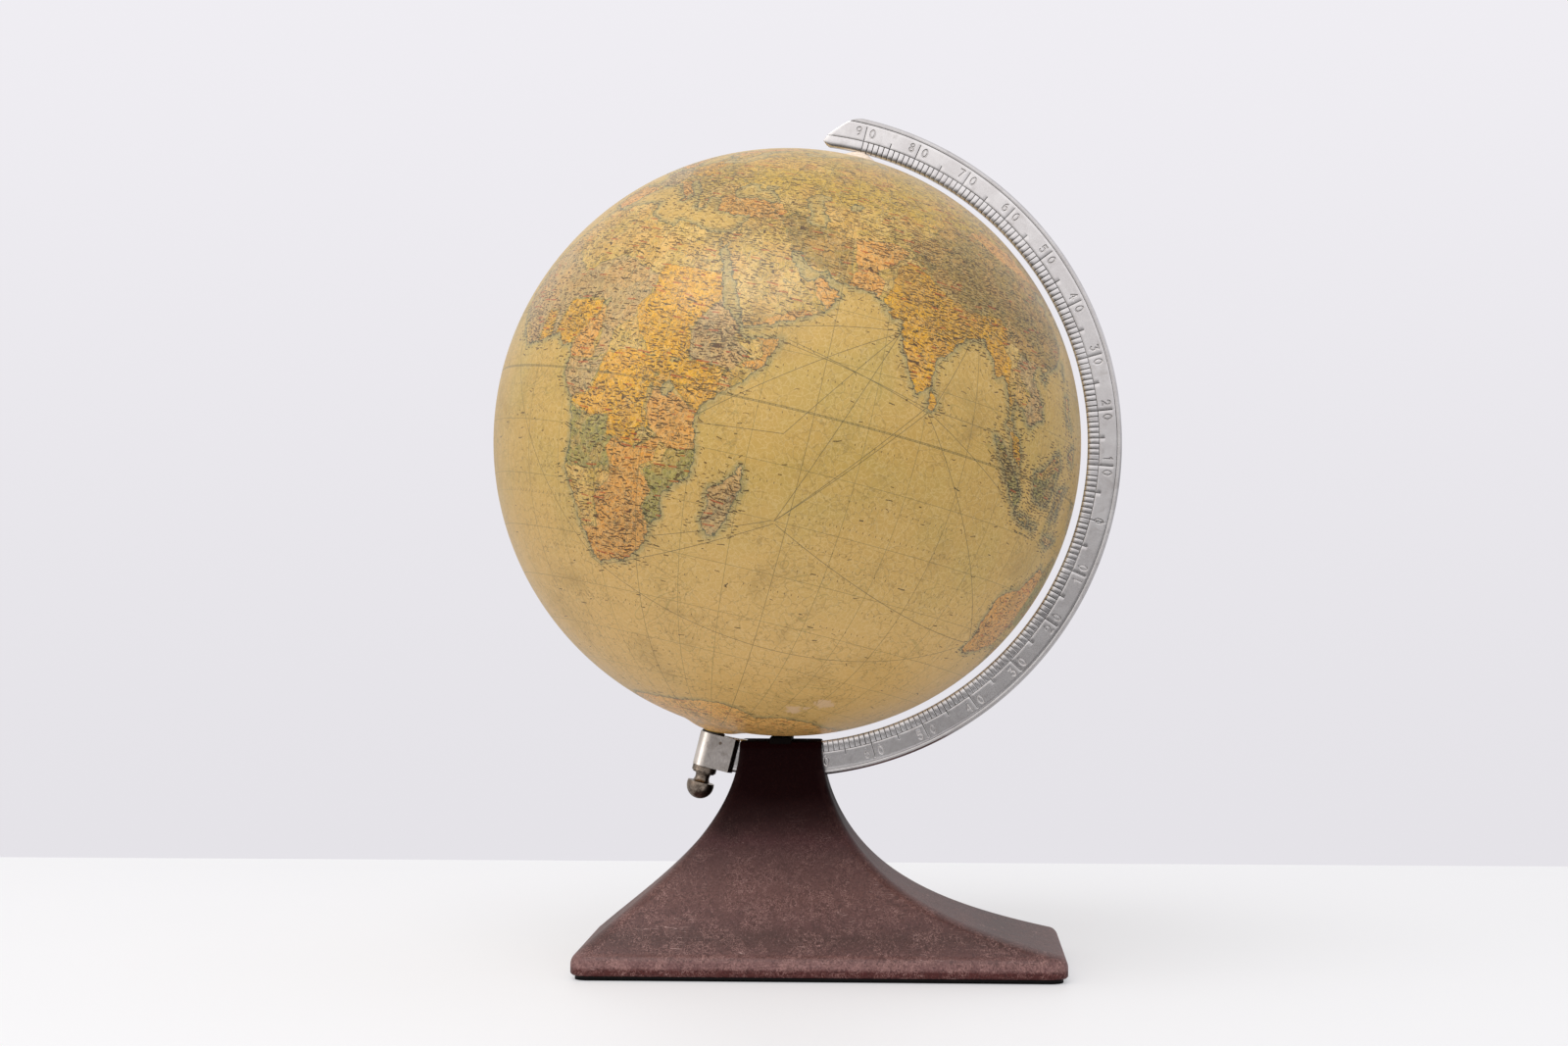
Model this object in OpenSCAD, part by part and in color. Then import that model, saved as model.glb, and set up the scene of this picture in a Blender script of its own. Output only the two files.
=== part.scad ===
// Table globe on a sliding half meridian ring with a swept moulded foot.
// Z is up, X runs along the plane of the ring, and the front looks towards -Y.
// The origin lies on the table under the centre of the globe.

/* [Globe] */
// Outer diameter of the globe over its printed paper
globe_d = 330; // [300:1:345]
// Height of the centre of the globe above the table
centre_h = 293.5; // [280:0.5:320]
// Number of printed gores pasted round the globe
gore_n = 12; // [8:1:18]
// Width of the seam between two gores at the equator
gore_seam = 0.1; // [0.05:0.05:0.5]
// Thickness of the printed paper
paper_t = 0.45; // [0.3:0.05:0.8]
// Radius of the round sheet of paper over each pole
cap_r = 28; // [20:1:40]
// Wall of the two pasteboard shells
shell_t = 3; // [2:0.5:5]
// Width of the hoop that joins the shells inside
hoop_w = 24; // [12:1:40]
// Thickness of the hoop
hoop_t = 3; // [2:0.5:5]
// Diameter of the wooden post between the poles
post_d = 22; // [16:1:30]
// Radius of the wooden block inside each pole
block_r = 26; // [20:1:40]
// Depth of each wooden block along the axis
block_h = 18; // [16:1:30]
// Depth of the socket for the post in each block
socket_h = 6; // [3:0.5:8]

/* [Poles] */
// Diameter of the pins that the globe turns on
pivot_d = 3; // [2:0.1:3.6]
// Outer diameter of the brass bushes in the globe
bush_d = 12; // [8:0.5:16]
// Length of each bush
bush_l = 14; // [10:0.5:18]
// How far each bush stands out of the paper
bush_proud = 0.3; // [0.1:0.1:0.6]
// Depth of the north pin in the ring
pin_seat = 7; // [4:0.5:12]
// How far each pin reaches into its bush
pin_reach = 9; // [5:0.5:10]
// Diameter of the pale domed washer at the north pole
north_washer_d = 20; // [14:0.5:24]
// Diameter of its top under the ring
north_washer_top = 6.4; // [5:0.1:9]
// Diameter of the dark washer at the south pole
south_washer_d = 13; // [9:0.5:18]
// Height of the swelling of the globe round its south pole
south_rise = 2.6; // [0:0.1:2.8]
// Radius where that swelling starts
rise_r = 21; // [14:0.5:24]
// Radius of its flat top
rise_top_r = 7; // [6.5:0.1:9]

/* [Ring] */
// Gap between the globe and the ring
ring_gap = 4; // [3:0.1:6]
// Width of the ring from its inner to its outer edge
ring_w = 19; // [14:0.5:22]
// Thickness of the ring
ring_t = 5; // [4.2:0.1:6]
// Bevel along the outer edges of the ring
ring_bevel = 1; // [0.4:0.1:1.6]
// Angle that the ring runs on past the north pole
north_over = 7.3; // [5:0.1:10]
// Angle of the slanting cut at the north end, from the radius
north_cut = 38; // [10:1:50]
// Distance of the inner engraved line from the inner edge
inner_line = 6.3; // [4:0.1:8]
// Distance of the outer engraved line from the outer edge
outer_line = 2.7; // [2:0.1:4]
// Width of the engraved lines
line_w = 0.35; // [0.2:0.05:0.6]
// Depth of the engraved lines
line_cut = 0.2; // [0.1:0.05:0.4]

/* [Clasp] */
// Thickness of the clasp block round the south end of the ring
clasp_t = 14.4; // [12:0.1:18]
// Distance from the polar axis to the end of the block that meets the neck
clasp_end = 15.8; // [13:0.1:18]
// Distance from the polar axis to the end of the ring in the block
ring_end = 3.2; // [2.8:0.1:4]
// Diameter of the pin through the block and the ring
clasp_pin_d = 1.8; // [1.2:0.1:2.2]
// Distance of that pin from the polar axis
clasp_pin_x = 5.6; // [5:0.1:8]
// Distance of that pin from the inner edge of the ring
clasp_pin_z = 4; // [3:0.1:8]

/* [Pole screw] */
// Diameter of the threaded part of the pole screw
screw_d = 5; // [4:0.1:5.4]
// Diameter of the lock nut under the clasp
nut_d = 13.8; // [11:0.1:16]
// Height of the lock nut
nut_h = 3.2; // [2:0.1:5]
// Diameter of the waist of the screw
waist_d = 8; // [6:0.1:10]
// Length of the waist
waist_h = 5.6; // [4:0.1:7]
// Diameter of the head
head_d = 15.4; // [12:0.1:18]
// Height of the head
head_h = 9.3; // [7:0.1:11]

/* [Foot] */
// Reach of the neck left of the centre of the globe
neck_l = 26; // [24:0.1:28]
// Reach of the neck right of the centre of the globe
neck_r = 19.7; // [17:0.1:26]
// Depth of the neck from front to back
neck_d = 30; // [26:0.5:44]
// Reach of the foot left of the centre of the globe
foot_l = 115; // [100:1:130]
// Reach of the foot right of the centre of the globe
foot_r = 154.5; // [130:0.5:170]
// Depth of the foot from front to back
foot_d = 136; // [120:1:180]
// Height of the upright rim of the foot above the table
rim_h = 8; // [7:0.1:10]
// Radius of the rounded edge above the rim
knee_r = 7; // [6.5:0.1:10]
// Height of that rounded edge
knee_h = 6; // [4:0.1:6.4]
// Corner radius of the neck seen from above
neck_corner = 3.5; // [2:0.1:6]
// Corner radius of the foot seen from above
foot_corner = 10; // [6:0.1:14]
// Share of the gentle sweep in the left side
left_sweep = 1.13; // [0.9:0.01:1.2]
// Share of the gentle sweep in the right side
right_sweep = 0.58; // [0.5:0.01:1]
// Share of the gentle sweep in the front and the back
front_sweep = 1; // [0.8:0.01:1.15]
// Wall of the moulded foot
foot_wall = 5; // [4:0.1:7]
// Thickness of the solid top of the neck under the slot
neck_floor = 8; // [6:0.5:12]
// Height of the lip of the neck over the inner edge of the ring
neck_lip = 1.5; // [1:0.1:2]

/* [Underside] */
// Thickness of the felt sheet that the foot stands on
felt_t = 1; // [0.8:0.1:2]
// Thickness of the bottom plate
plate_t = 1.5; // [1.2:0.1:2.5]
// Distance of the plate and the felt from the edge of the foot
plate_inset = 2.5; // [1.5:0.1:4]
// Diameter of the plate screws
plate_screw_d = 3; // [2.4:0.1:4]
// Length of the plate screws above the plate
plate_screw_l = 8; // [6:0.5:9]
// Distance of the plate screws from the edges of the foot
boss_inset = 18; // [16:0.5:22]
// Diameter of the bosses for the plate screws
boss_d = 10; // [8:0.5:12]
// Length of the cast weight
weight_l = 140; // [100:1:150]
// Depth of the cast weight
weight_d = 70; // [50:1:76]
// Thickness of the cast weight
weight_t = 8; // [5:0.5:12]
// Distance between the two screws of the weight
weight_screw_gap = 100; // [60:1:90]
// Diameter of the screws of the weight
weight_screw_d = 4; // [3:0.1:5]

/* [Slide] */
// Thickness of the brass guide channel
channel_t = 1.2; // [0.8:0.1:1.6]
// Room under the ring for the brake spring and its pad
brake_room = 4; // [3.4:0.1:5]
// Distance between the two screws of the channel
channel_screw_gap = 14; // [10:0.5:18]
// Diameter of the screws of the channel
channel_screw_d = 3; // [2.4:0.1:3.6]
// Thickness of the brake spring
spring_t = 0.6; // [0.4:0.05:0.9]
// Length of the brake spring
spring_l = 32; // [26:1:36]
// Width of the brake spring
spring_w = 4.4; // [3:0.1:4.6]
// Length of the felt brake pad
pad_l = 12; // [8:0.5:16]
// Diameter of the rivet that holds the spring
rivet_d = 1.6; // [1.2:0.1:2]
// Width of the black keeper over the slot
keeper_w = 12; // [8:0.5:16]
// Depth of its folded ends over the front and the back of the neck
keeper_fold = 1.2; // [0.6:0.1:2]
// Thickness of its folded ends
keeper_fold_t = 0.8; // [0.5:0.1:1.2]
// Diameter of the keeper screws
keeper_screw_d = 2.5; // [2:0.1:3]
// Length of the keeper screws
keeper_screw_l = 9; // [6:0.5:12]

/* [Fits] */
// Radial clearance of a pin that turns in a bore
run_fit = 0.05; // [0.02:0.01:0.09]
// Clearance of a piece that is fixed in its seat
seat_fit = 0.05; // [0.02:0.01:0.1]
// Clearance between pieces that move past each other
slide_fit = 0.3; // [0.2:0.05:0.4]
// Gap between the clasp and the neck where the slide stops
stop_gap = 0.4; // [0.3:0.05:0.6]
// Gap between the keeper and the globe
keeper_gap = 0.6; // [0.4:0.05:0.8]

/* [Hidden] */
globe_r = globe_d / 2;
shell_r = globe_r - paper_t - seat_fit;
shell_in = shell_r - shell_t;
ring_in = globe_r + ring_gap;
ring_out = ring_in + ring_w;

// The clasp stops against the neck, and that sets how far the axis leans at rest
clasp_arm = sqrt(pow(ring_in, 2) + pow(clasp_end, 2));
tilt = atan(clasp_end / ring_in) + asin((neck_l + stop_gap) / clasp_arm);

bottom_z = felt_t + plate_t;
rim_z = rim_h;
knee_z = rim_z + knee_h;
knee_in = knee_r - sqrt(pow(knee_r, 2) - pow(knee_h, 2));
neck_z = centre_h - ring_in + neck_lip;
top_round = 0.8;

channel_out = ring_out + brake_room + channel_t;
channel_w = ring_t + 2 * slide_fit + 2 * channel_t;
slot_r = channel_out + seat_fit;
slot_w = channel_w + 2 * seat_fit;
cavity_z = centre_h - slot_r - neck_floor;
neck_x = (neck_r - neck_l) / 2;
foot_x = (foot_r - foot_l) / 2;

keeper_t = ring_gap - neck_lip - keeper_gap;
keeper_screw_y = (slot_w + neck_d) / 4;
pole_seat = globe_r + bush_proud;
south_seat = pole_seat + south_rise;
block_in = shell_in - block_h;
post_end = block_in + socket_h;

corner_steps = 6;
knee_steps = 4;
sweep_steps = 16;
overcut = 1;

$fn = 96;

// Frame of the ring and the globe: Z along the polar axis, X towards the zero mark
module at_axis() {
    translate([0, 0, centre_h])
        rotate([0, tilt, 0])
            children();
}

// The same frame turned over, so that Z runs out through the south pole
module at_south() {
    at_axis()
        mirror([0, 0, 1])
            children();
}

// A flat shape drawn in the plane of the ring, around the centre of the globe
module in_slot(width) {
    translate([0, width / 2, centre_h])
        rotate([90, 0, 0])
            linear_extrude(width)
                children();
}

// How far the foot has swept out at a height, from 0 at the neck to 1 at the knee
function drop(z) = max(0, min(1, (neck_z - z) / (neck_z - knee_z)));
function sweep(t, share) = share * pow(t, 2) + (1 - share) * pow(t, 6);
function knee_cut(z) = z < rim_z ? 0
    : knee_r - sqrt(pow(knee_r, 2) - pow(min(z, knee_z) - rim_z, 2));
function reach(z, neck, foot, share) = z <= knee_z ? foot - knee_cut(z)
    : neck + (foot - knee_in - neck) * sweep(drop(z), share);

// One level of the foot: a rectangle with round corners, seen from above
function level(z, inset, out_z) =
    let (xl = -reach(z, neck_l, foot_l, left_sweep) + inset,
        xr = reach(z, neck_r, foot_r, right_sweep) - inset,
        y = reach(z, neck_d / 2, foot_d / 2, front_sweep) - inset,
        r = max(1, neck_corner + (foot_corner - neck_corner) * drop(z) - inset))
    [for (k = [0:3], j = [0:corner_steps])
        let (a = 90 * k + 90 * j / corner_steps,
            cx = k == 0 || k == 3 ? xr - r : xl + r,
            cy = k < 2 ? y - r : r - y)
        [cx + r * cos(a), cy + r * sin(a), out_z]];

// A solid skinned over a stack of levels that have the same number of points
module stack(levels) {
    n = len(levels[0]);
    m = len(levels);
    polyhedron(
        points = [for (l = levels) each l],
        faces = concat(
            [[for (i = [0:n - 1]) i]],
            [[for (i = [0:n - 1]) (m - 1) * n + n - 1 - i]],
            [for (s = [0:m - 2], i = [0:n - 1])
                let (a = s * n + i, b = s * n + (i + 1) % n)
                each [[a, a + n, b], [b, a + n, b + n]]]));
}

module foot_solid() {
    stack(concat(
        [level(bottom_z, 0, bottom_z)],
        [for (i = [0:knee_steps])
            let (z = rim_z + knee_h * i / knee_steps) level(z, 0, z)],
        [for (i = [1:sweep_steps])
            let (z = knee_z + (neck_z - top_round - knee_z) * i / sweep_steps)
            level(z, 0, z)],
        [level(neck_z, top_round / 2, neck_z)]));
}

// The hollow keeps the wall below the outer skin and inside it
module foot_hollow() {
    low = bottom_z - overcut;
    stack([for (f = [0, 0.04, 0.1, 0.18, 0.3, 0.45, 0.6, 0.8, 1])
        let (z = low + (cavity_z - low) * f)
        level(z + foot_wall, foot_wall, z)]);
}

module boss_places() {
    for (x = [boss_inset - foot_l, foot_r - boss_inset], side = [-1, 1])
        translate([x, side * (foot_d / 2 - boss_inset), 0])
            children();
}

module channel_screw_places() {
    for (side = [-1, 1])
        translate([neck_x + side * channel_screw_gap / 2, 0, 0])
            children();
}

module keeper_screw_places() {
    for (side = [-1, 1])
        translate([neck_x, side * keeper_screw_y, 0])
            children();
}

module weight_screw_places() {
    for (side = [-1, 1])
        translate([foot_x + side * weight_screw_gap / 2, 0, 0])
            children();
}

// Underside outline of the plate and the felt
module sheet_shape() {
    r = foot_corner - plate_inset;
    x0 = -foot_l + plate_inset;
    x1 = foot_r - plate_inset;
    y1 = foot_d / 2 - plate_inset;
    union() {
        translate([x0 + r, -y1])
            square([x1 - x0 - 2 * r, 2 * y1]);
        translate([x0, r - y1])
            square([x1 - x0, 2 * y1 - 2 * r]);
        for (x = [x0 + r, x1 - r], y = [r - y1, y1 - r])
            translate([x, y])
                circle(r = r);
    }
}

module felt_sheet() {
    color("#1c1a1a")
        linear_extrude(felt_t)
            sheet_shape();
}

module plate_screw(grow) {
    head_r = plate_screw_d;
    rotate_extrude()
        polygon([[0, 0], [head_r + grow, 0], [plate_screw_d / 2 + grow, plate_t],
            [plate_screw_d / 2 + grow, plate_t + plate_screw_l + grow],
            [0, plate_t + plate_screw_l + grow]]);
}

module bottom_plate() {
    color("#2b2a2a")
        difference() {
            translate([0, 0, felt_t])
                linear_extrude(plate_t)
                    sheet_shape();
            boss_places()
                translate([0, 0, felt_t])
                    plate_screw(seat_fit);
            weight_screw_places()
                translate([0, 0, felt_t - overcut])
                    cylinder(h = plate_t + 2 * overcut, d = weight_screw_d + 2 * seat_fit);
        }
}

module plate_screws() {
    color("#8d8a84")
        boss_places()
            translate([0, 0, felt_t])
                plate_screw(0);
}

module foot_shell() {
    color("#4a2a28")
        difference() {
            foot_solid();
            difference() {
                foot_hollow();
                boss_places()
                    cylinder(h = cavity_z, d = boss_d);
            }
            in_slot(slot_w)
                circle(r = slot_r, $fn = 360);
            boss_places()
                cylinder(h = felt_t + plate_t + plate_screw_l + seat_fit,
                    d = plate_screw_d + 2 * seat_fit);
            channel_screw_places()
                translate([0, 0, cavity_z - overcut])
                    cylinder(h = neck_z - cavity_z, d = channel_screw_d + 2 * seat_fit);
            keeper_screw_places()
                translate([0, 0, neck_z + keeper_t - keeper_screw_l - seat_fit])
                    cylinder(h = keeper_screw_l, d = keeper_screw_d + 2 * seat_fit);
        }
}

module cast_weight() {
    color("#3a3a3d")
        difference() {
            translate([foot_x - weight_l / 2, -weight_d / 2, bottom_z])
                cube([weight_l, weight_d, weight_t]);
            weight_screw_places()
                cylinder(h = bottom_z + weight_t + overcut, d = weight_screw_d + 2 * seat_fit);
        }
}

module weight_screws() {
    color("#8d8a84")
        weight_screw_places()
            union() {
                translate([0, 0, felt_t])
                    cylinder(h = plate_t + weight_t, d = weight_screw_d);
                translate([0, 0, bottom_z + weight_t])
                    cylinder(h = weight_screw_d * 0.6, d = weight_screw_d * 1.8);
            }
}

// Part of the plane of the ring that lies inside the neck
module neck_strip(inset) {
    translate([-neck_l + inset, -channel_out - overcut])
        square([neck_l + neck_r - 2 * inset, channel_out]);
}

module band(inner, outer) {
    difference() {
        circle(r = outer, $fn = 360);
        circle(r = inner, $fn = 360);
    }
}

module guide_channel() {
    color("#b08d4a")
        difference() {
            union() {
                in_slot(channel_w)
                    intersection() {
                        band(channel_out - channel_t, channel_out);
                        neck_strip(0);
                    }
                for (side = [-1, 1])
                    translate([0, side * (channel_w - channel_t) / 2, 0])
                        in_slot(channel_t)
                            intersection() {
                                band(ring_in, channel_out);
                                neck_strip(0);
                            }
            }
            channel_screw_places()
                translate([0, 0, cavity_z])
                    cylinder(h = centre_h - ring_out - cavity_z, d = channel_screw_d + 2 * seat_fit);
            spring_rivet_place()
                translate([0, 0, -brake_room])
                    cylinder(h = 2 * brake_room, d = rivet_d + 2 * seat_fit);
        }
}

// The channel screws end inside the channel, under the brake spring
module channel_screws() {
    screw_x = max(abs(neck_x - channel_screw_gap / 2), abs(neck_x + channel_screw_gap / 2));
    tip_z = centre_h - sqrt(pow(channel_out - channel_t / 2, 2) - pow(screw_x, 2));
    color("#8d8a84")
        channel_screw_places()
            union() {
                translate([0, 0, cavity_z])
                    cylinder(h = tip_z - cavity_z, d = channel_screw_d);
                translate([0, 0, cavity_z - channel_screw_d * 0.6])
                    cylinder(h = channel_screw_d * 0.6, d = channel_screw_d * 1.9);
            }
}

// The brake spring arches up from the channel to the pad, as an arc through three points
spring_x = neck_x;
floor_r = channel_out - channel_t;
spring_foot = sqrt(pow(floor_r, 2) - pow(abs(spring_x) + spring_l / 2, 2)) - seat_fit;
spring_crown = ring_out + slide_fit + (brake_room - slide_fit) * 0.45;
spring_rise = spring_foot - spring_t - spring_crown;
spring_r = (pow(spring_l / 2, 2) + pow(spring_rise, 2)) / (2 * spring_rise);

module spring_disc(grow) {
    translate([spring_x, -spring_crown - spring_r])
        circle(r = spring_r + grow, $fn = 720);
}

module brake_spring() {
    color("#9aa0a6")
        difference() {
            in_slot(spring_w)
                intersection() {
                    difference() {
                        spring_disc(0);
                        spring_disc(-spring_t);
                    }
                    translate([spring_x - spring_l / 2, -floor_r])
                        square([spring_l, brake_room]);
                }
            spring_rivet_place()
                translate([0, 0, -brake_room])
                    cylinder(h = 2 * brake_room, d = rivet_d + 2 * seat_fit);
        }
}

// The pad lies flat on the crown of the spring, just clear of the lowest point of the ring
module brake_pad() {
    color("#3d3128")
        translate([spring_x - pad_l / 2, -spring_w / 2, centre_h - spring_crown + seat_fit])
            cube([pad_l, spring_w, spring_crown - seat_fit - ring_out - slide_fit]);
}

// Place of the rivet near the end of the spring, on the floor of the channel
rivet_x = spring_x - spring_l / 2 + 2 * rivet_d;
rivet_floor = centre_h - sqrt(pow(floor_r, 2) - pow(rivet_x, 2));
rivet_head_r = 0.9 * rivet_d;
rivet_head_h = 0.5;

module spring_rivet_place() {
    translate([rivet_x, 0, rivet_floor])
        children();
}

// Height of the top of the spring above the table
function spring_top(x) = centre_h - spring_crown - spring_r
    + sqrt(pow(spring_r, 2) - pow(x - spring_x, 2));

module spring_rivet() {
    head_z = spring_top(rivet_x + rivet_head_r) + seat_fit - rivet_floor;
    color("#8d8a84")
        spring_rivet_place()
            union() {
                translate([0, 0, seat_fit - channel_t])
                    cylinder(h = channel_t + head_z + rivet_head_h - seat_fit, d = rivet_d);
                translate([0, 0, head_z])
                    cylinder(h = rivet_head_h, r = rivet_head_r);
            }
}

module keeper_screw(grow) {
    rotate_extrude()
        polygon([[0, -keeper_screw_l - grow], [keeper_screw_d / 2 + grow, -keeper_screw_l - grow],
            [keeper_screw_d / 2 + grow, -keeper_screw_d / 2],
            [keeper_screw_d + grow, 0], [0, 0]]);
}

// A strap over the slot, with a tongue that stops the ring from lifting
module slot_keeper() {
    tongue_h = neck_lip - slide_fit;
    outer_y = neck_d / 2 + seat_fit + keeper_fold_t;
    color("#141212")
        difference() {
            union() {
                translate([neck_x - keeper_w / 2, -outer_y, neck_z])
                    cube([keeper_w, 2 * outer_y, keeper_t]);
                for (side = [-1, 1])
                    translate([neck_x - keeper_w / 2,
                        side * (outer_y - keeper_fold_t / 2) - keeper_fold_t / 2,
                        neck_z - keeper_fold])
                        cube([keeper_w, keeper_fold_t, keeper_fold + overcut]);
                translate([neck_x - keeper_w / 2, -ring_t / 2, neck_z - tongue_h])
                    cube([keeper_w, ring_t, tongue_h + overcut]);
            }
            keeper_screw_places()
                translate([0, 0, neck_z + keeper_t])
                    keeper_screw(seat_fit);
            in_slot(ring_t + 1)
                circle(r = globe_r + keeper_gap, $fn = 360);
            in_slot(ring_t + 1)
                band(ring_in - slide_fit, ring_out);
        }
}

module keeper_screws() {
    color("#2a2a2a")
        keeper_screw_places()
            translate([0, 0, neck_z + keeper_t])
                keeper_screw(0);
}

// Section of the ring with its bevels and engraved lines, the front face at -Y
module ring_section() {
    h = ring_t / 2;
    difference() {
        polygon([[ring_in, -h], [ring_out - ring_bevel, -h], [ring_out, ring_bevel - h],
            [ring_out, h - ring_bevel], [ring_out - ring_bevel, h], [ring_in, h]]);
        for (r = [ring_in + inner_line, ring_out - outer_line])
            translate([r - line_w / 2, h - line_cut])
                square([line_w, line_cut + overcut]);
    }
}

module meridian_ring() {
    spare = 3;
    tip = ring_in + 1;
    color("#b9b7b2")
        difference() {
            at_axis()
                rotate([90, 0, 0])
                    rotate([0, 0, -90])
                        rotate_extrude(angle = 180 + north_over + spare, $fn = 360)
                            ring_section();
            at_axis() {
                translate([ring_end - 2 * ring_w, -ring_t, -ring_out - overcut])
                    cube([2 * ring_w, 2 * ring_t, 2 * ring_w]);
                rotate([0, -north_over, 0])
                    translate([0, 0, tip])
                        rotate([0, north_cut, 0])
                            translate([-2 * ring_w, -ring_t, -ring_w])
                                cube([2 * ring_w, 2 * ring_t, 3 * ring_w]);
                cylinder(h = ring_in + pin_seat + seat_fit, d = pivot_d + 2 * seat_fit);
            }
            clasp_pin_place()
                cylinder(h = clasp_t + overcut, d = clasp_pin_d + 2 * seat_fit, center = true);
        }
}

module clasp_pin_place() {
    at_south()
        translate([clasp_pin_x, 0, ring_in + clasp_pin_z])
            rotate([90, 0, 0])
                children();
}

module clasp_block() {
    bevel = (clasp_t - ring_t) / 2;
    flat_end = clasp_end - bevel * 0.5;
    color("#c4c0b8")
        difference() {
            at_south()
                translate([0, 0, ring_in])
                    linear_extrude(ring_w)
                        union() {
                            circle(d = clasp_t);
                            polygon([[0, -clasp_t / 2], [flat_end, -clasp_t / 2],
                                [clasp_end, -ring_t / 2], [clasp_end, ring_t / 2],
                                [flat_end, clasp_t / 2], [0, clasp_t / 2]]);
                        }
            at_south() {
                translate([ring_end - seat_fit, -ring_t / 2 - seat_fit, ring_in - overcut])
                    cube([clasp_end, ring_t + 2 * seat_fit, ring_w + 2 * overcut]);
                cylinder(h = ring_out + overcut, d = screw_d + 2 * run_fit);
            }
            clasp_pin_place()
                cylinder(h = clasp_t + overcut, d = clasp_pin_d + 2 * seat_fit, center = true);
        }
}

module clasp_pin() {
    color("#5a5650")
        clasp_pin_place()
            cylinder(h = clasp_t, d = clasp_pin_d, center = true);
}

module north_pivot() {
    color("#8d8a84")
        at_axis()
            translate([0, 0, pole_seat - pin_reach])
                cylinder(h = ring_in + pin_seat - pole_seat + pin_reach, d = pivot_d);
}

// Each washer fills the gap on the pin, up to the round inner edge of the ring
module washer(seat, d, top_d, hole) {
    bottom = seat + slide_fit;
    top = sqrt(pow(ring_in, 2) - pow(top_d / 2, 2));
    translate([0, 0, bottom])
        difference() {
            cylinder(h = top - bottom, d1 = d, d2 = top_d);
            translate([0, 0, -overcut])
                cylinder(h = ring_gap + 2 * overcut, d = hole);
        }
}

module north_washer() {
    color("#e6d9c4")
        at_axis()
            washer(pole_seat, north_washer_d, north_washer_top, pivot_d + 2 * seat_fit);
}

module south_washer() {
    color("#1d1b1a")
        at_south()
            washer(south_seat, south_washer_d, south_washer_d, screw_d + 2 * slide_fit);
}

module lock_nut() {
    color("#6f675c")
        at_south()
            translate([0, 0, ring_out + slide_fit])
                difference() {
                    cylinder(h = nut_h - slide_fit, d = nut_d);
                    translate([0, 0, -overcut])
                        cylinder(h = nut_h + 2 * overcut, d = screw_d + 2 * run_fit);
                }
}

// Turned profile of the pole screw, from its pivot tip out to its domed head
module screw_profile() {
    waist_z = ring_out + nut_h + slide_fit;
    head_z = waist_z + waist_h;
    scoop = 4.2;
    dome_z = head_z + 2;
    union() {
        translate([0, south_seat - pin_reach])
            square([pivot_d / 2, pin_reach + 2 * slide_fit]);
        translate([0, south_seat + slide_fit])
            square([screw_d / 2, waist_z - south_seat + waist_h / 2]);
        difference() {
            translate([0, waist_z])
                square([nut_d / 2 - 0.7, waist_h + 0.5]);
            translate([waist_d / 2 + scoop, waist_z + waist_h / 2])
                circle(r = scoop);
            translate([nut_d / 2 - 1.6, waist_z + 0.6])
                square([nut_d, waist_h - 1.2]);
        }
        intersection() {
            translate([0, head_z])
                square([head_d, head_h]);
            translate([0, dome_z])
                circle(d = head_d);
        }
    }
}

module pole_screw() {
    color("#6f675c")
        at_south()
            rotate_extrude()
                intersection() {
                    screw_profile();
                    square([head_d, 2 * ring_out]);
                }
}

// Height of the swelling round a pole, at a distance from the axis
function rise_at(x, rise) = let (t = max(0, min(1, (rise_r - x) / (rise_r - rise_top_r))))
    rise * t * t * (3 - 2 * t);

// Points over a pole on a radius, out to a distance from the axis
function pole_points(r, reach, rise) = let (n = 40)
    [for (i = [0:n]) let (x = reach * i / n) [x, sqrt(r * r - x * x) + rise_at(x, rise)]];

// Section of the paper over a pole
module sheet_section(rise) {
    outer = pole_points(globe_r, cap_r - seat_fit, rise);
    inner = pole_points(globe_r - paper_t, cap_r - seat_fit, rise);
    last = len(inner) - 1;
    polygon(concat(outer, [for (i = [last:-1:0]) inner[i]]));
}

// Section of a filled half ball, with a swelling at its pole
module shell_section(rise) {
    if (rise > 0) {
        start = ceil(asin(rise_r / shell_r)) + 1;
        polygon(concat([[0, 0]], pole_points(shell_r, rise_r, rise),
            [for (a = [start:2:90]) [shell_r * sin(a), shell_r * cos(a)]],
            [[shell_r, 0]]));
    } else {
        intersection() {
            circle(r = shell_r, $fn = 360);
            square(globe_d);
        }
    }
}

// Half of a hollow ball on the north side, thicker at a swelling and drilled for the bush
module half_shell(rise) {
    difference() {
        rotate_extrude($fn = 180)
            difference() {
                shell_section(rise);
                circle(r = shell_in, $fn = 360);
            }
        cylinder(h = globe_d, d = bush_d + 2 * seat_fit);
    }
}

module north_shell() {
    color("#a89878")
        at_axis()
            half_shell(0);
}

module south_shell() {
    color("#a89878")
        at_south()
            half_shell(south_rise);
}

module map_gores() {
    gore_angle = 360 / gore_n - 2 * asin(gore_seam / globe_d);
    color("#c8a850")
        at_axis()
            for (i = [0:gore_n - 1])
                rotate([0, 0, i * 360 / gore_n])
                    rotate_extrude(angle = gore_angle, $fn = 180)
                        intersection() {
                            band(globe_r - paper_t, globe_r);
                            translate([cap_r, -globe_r])
                                square([globe_r, globe_d]);
                        }
}

module polar_sheet(rise) {
    difference() {
        rotate_extrude($fn = 180)
            sheet_section(rise);
        cylinder(h = globe_d, d = bush_d + 2 * seat_fit);
    }
}

module polar_sheets() {
    color("#d08a50") {
        at_axis()
            polar_sheet(0);
        at_south()
            polar_sheet(south_rise);
    }
}

module equator_hoop() {
    color("#9c8a68")
        at_axis()
            difference() {
                intersection() {
                    sphere(r = shell_in - seat_fit, $fn = 180);
                    cylinder(h = hoop_w, r = globe_r, center = true);
                }
                cylinder(h = hoop_w + overcut, r = shell_in - hoop_t, center = true);
            }
}

module axle_post() {
    color("#b98d5a")
        at_axis()
            cylinder(h = 2 * (post_end - seat_fit), d = post_d, center = true);
}

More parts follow.
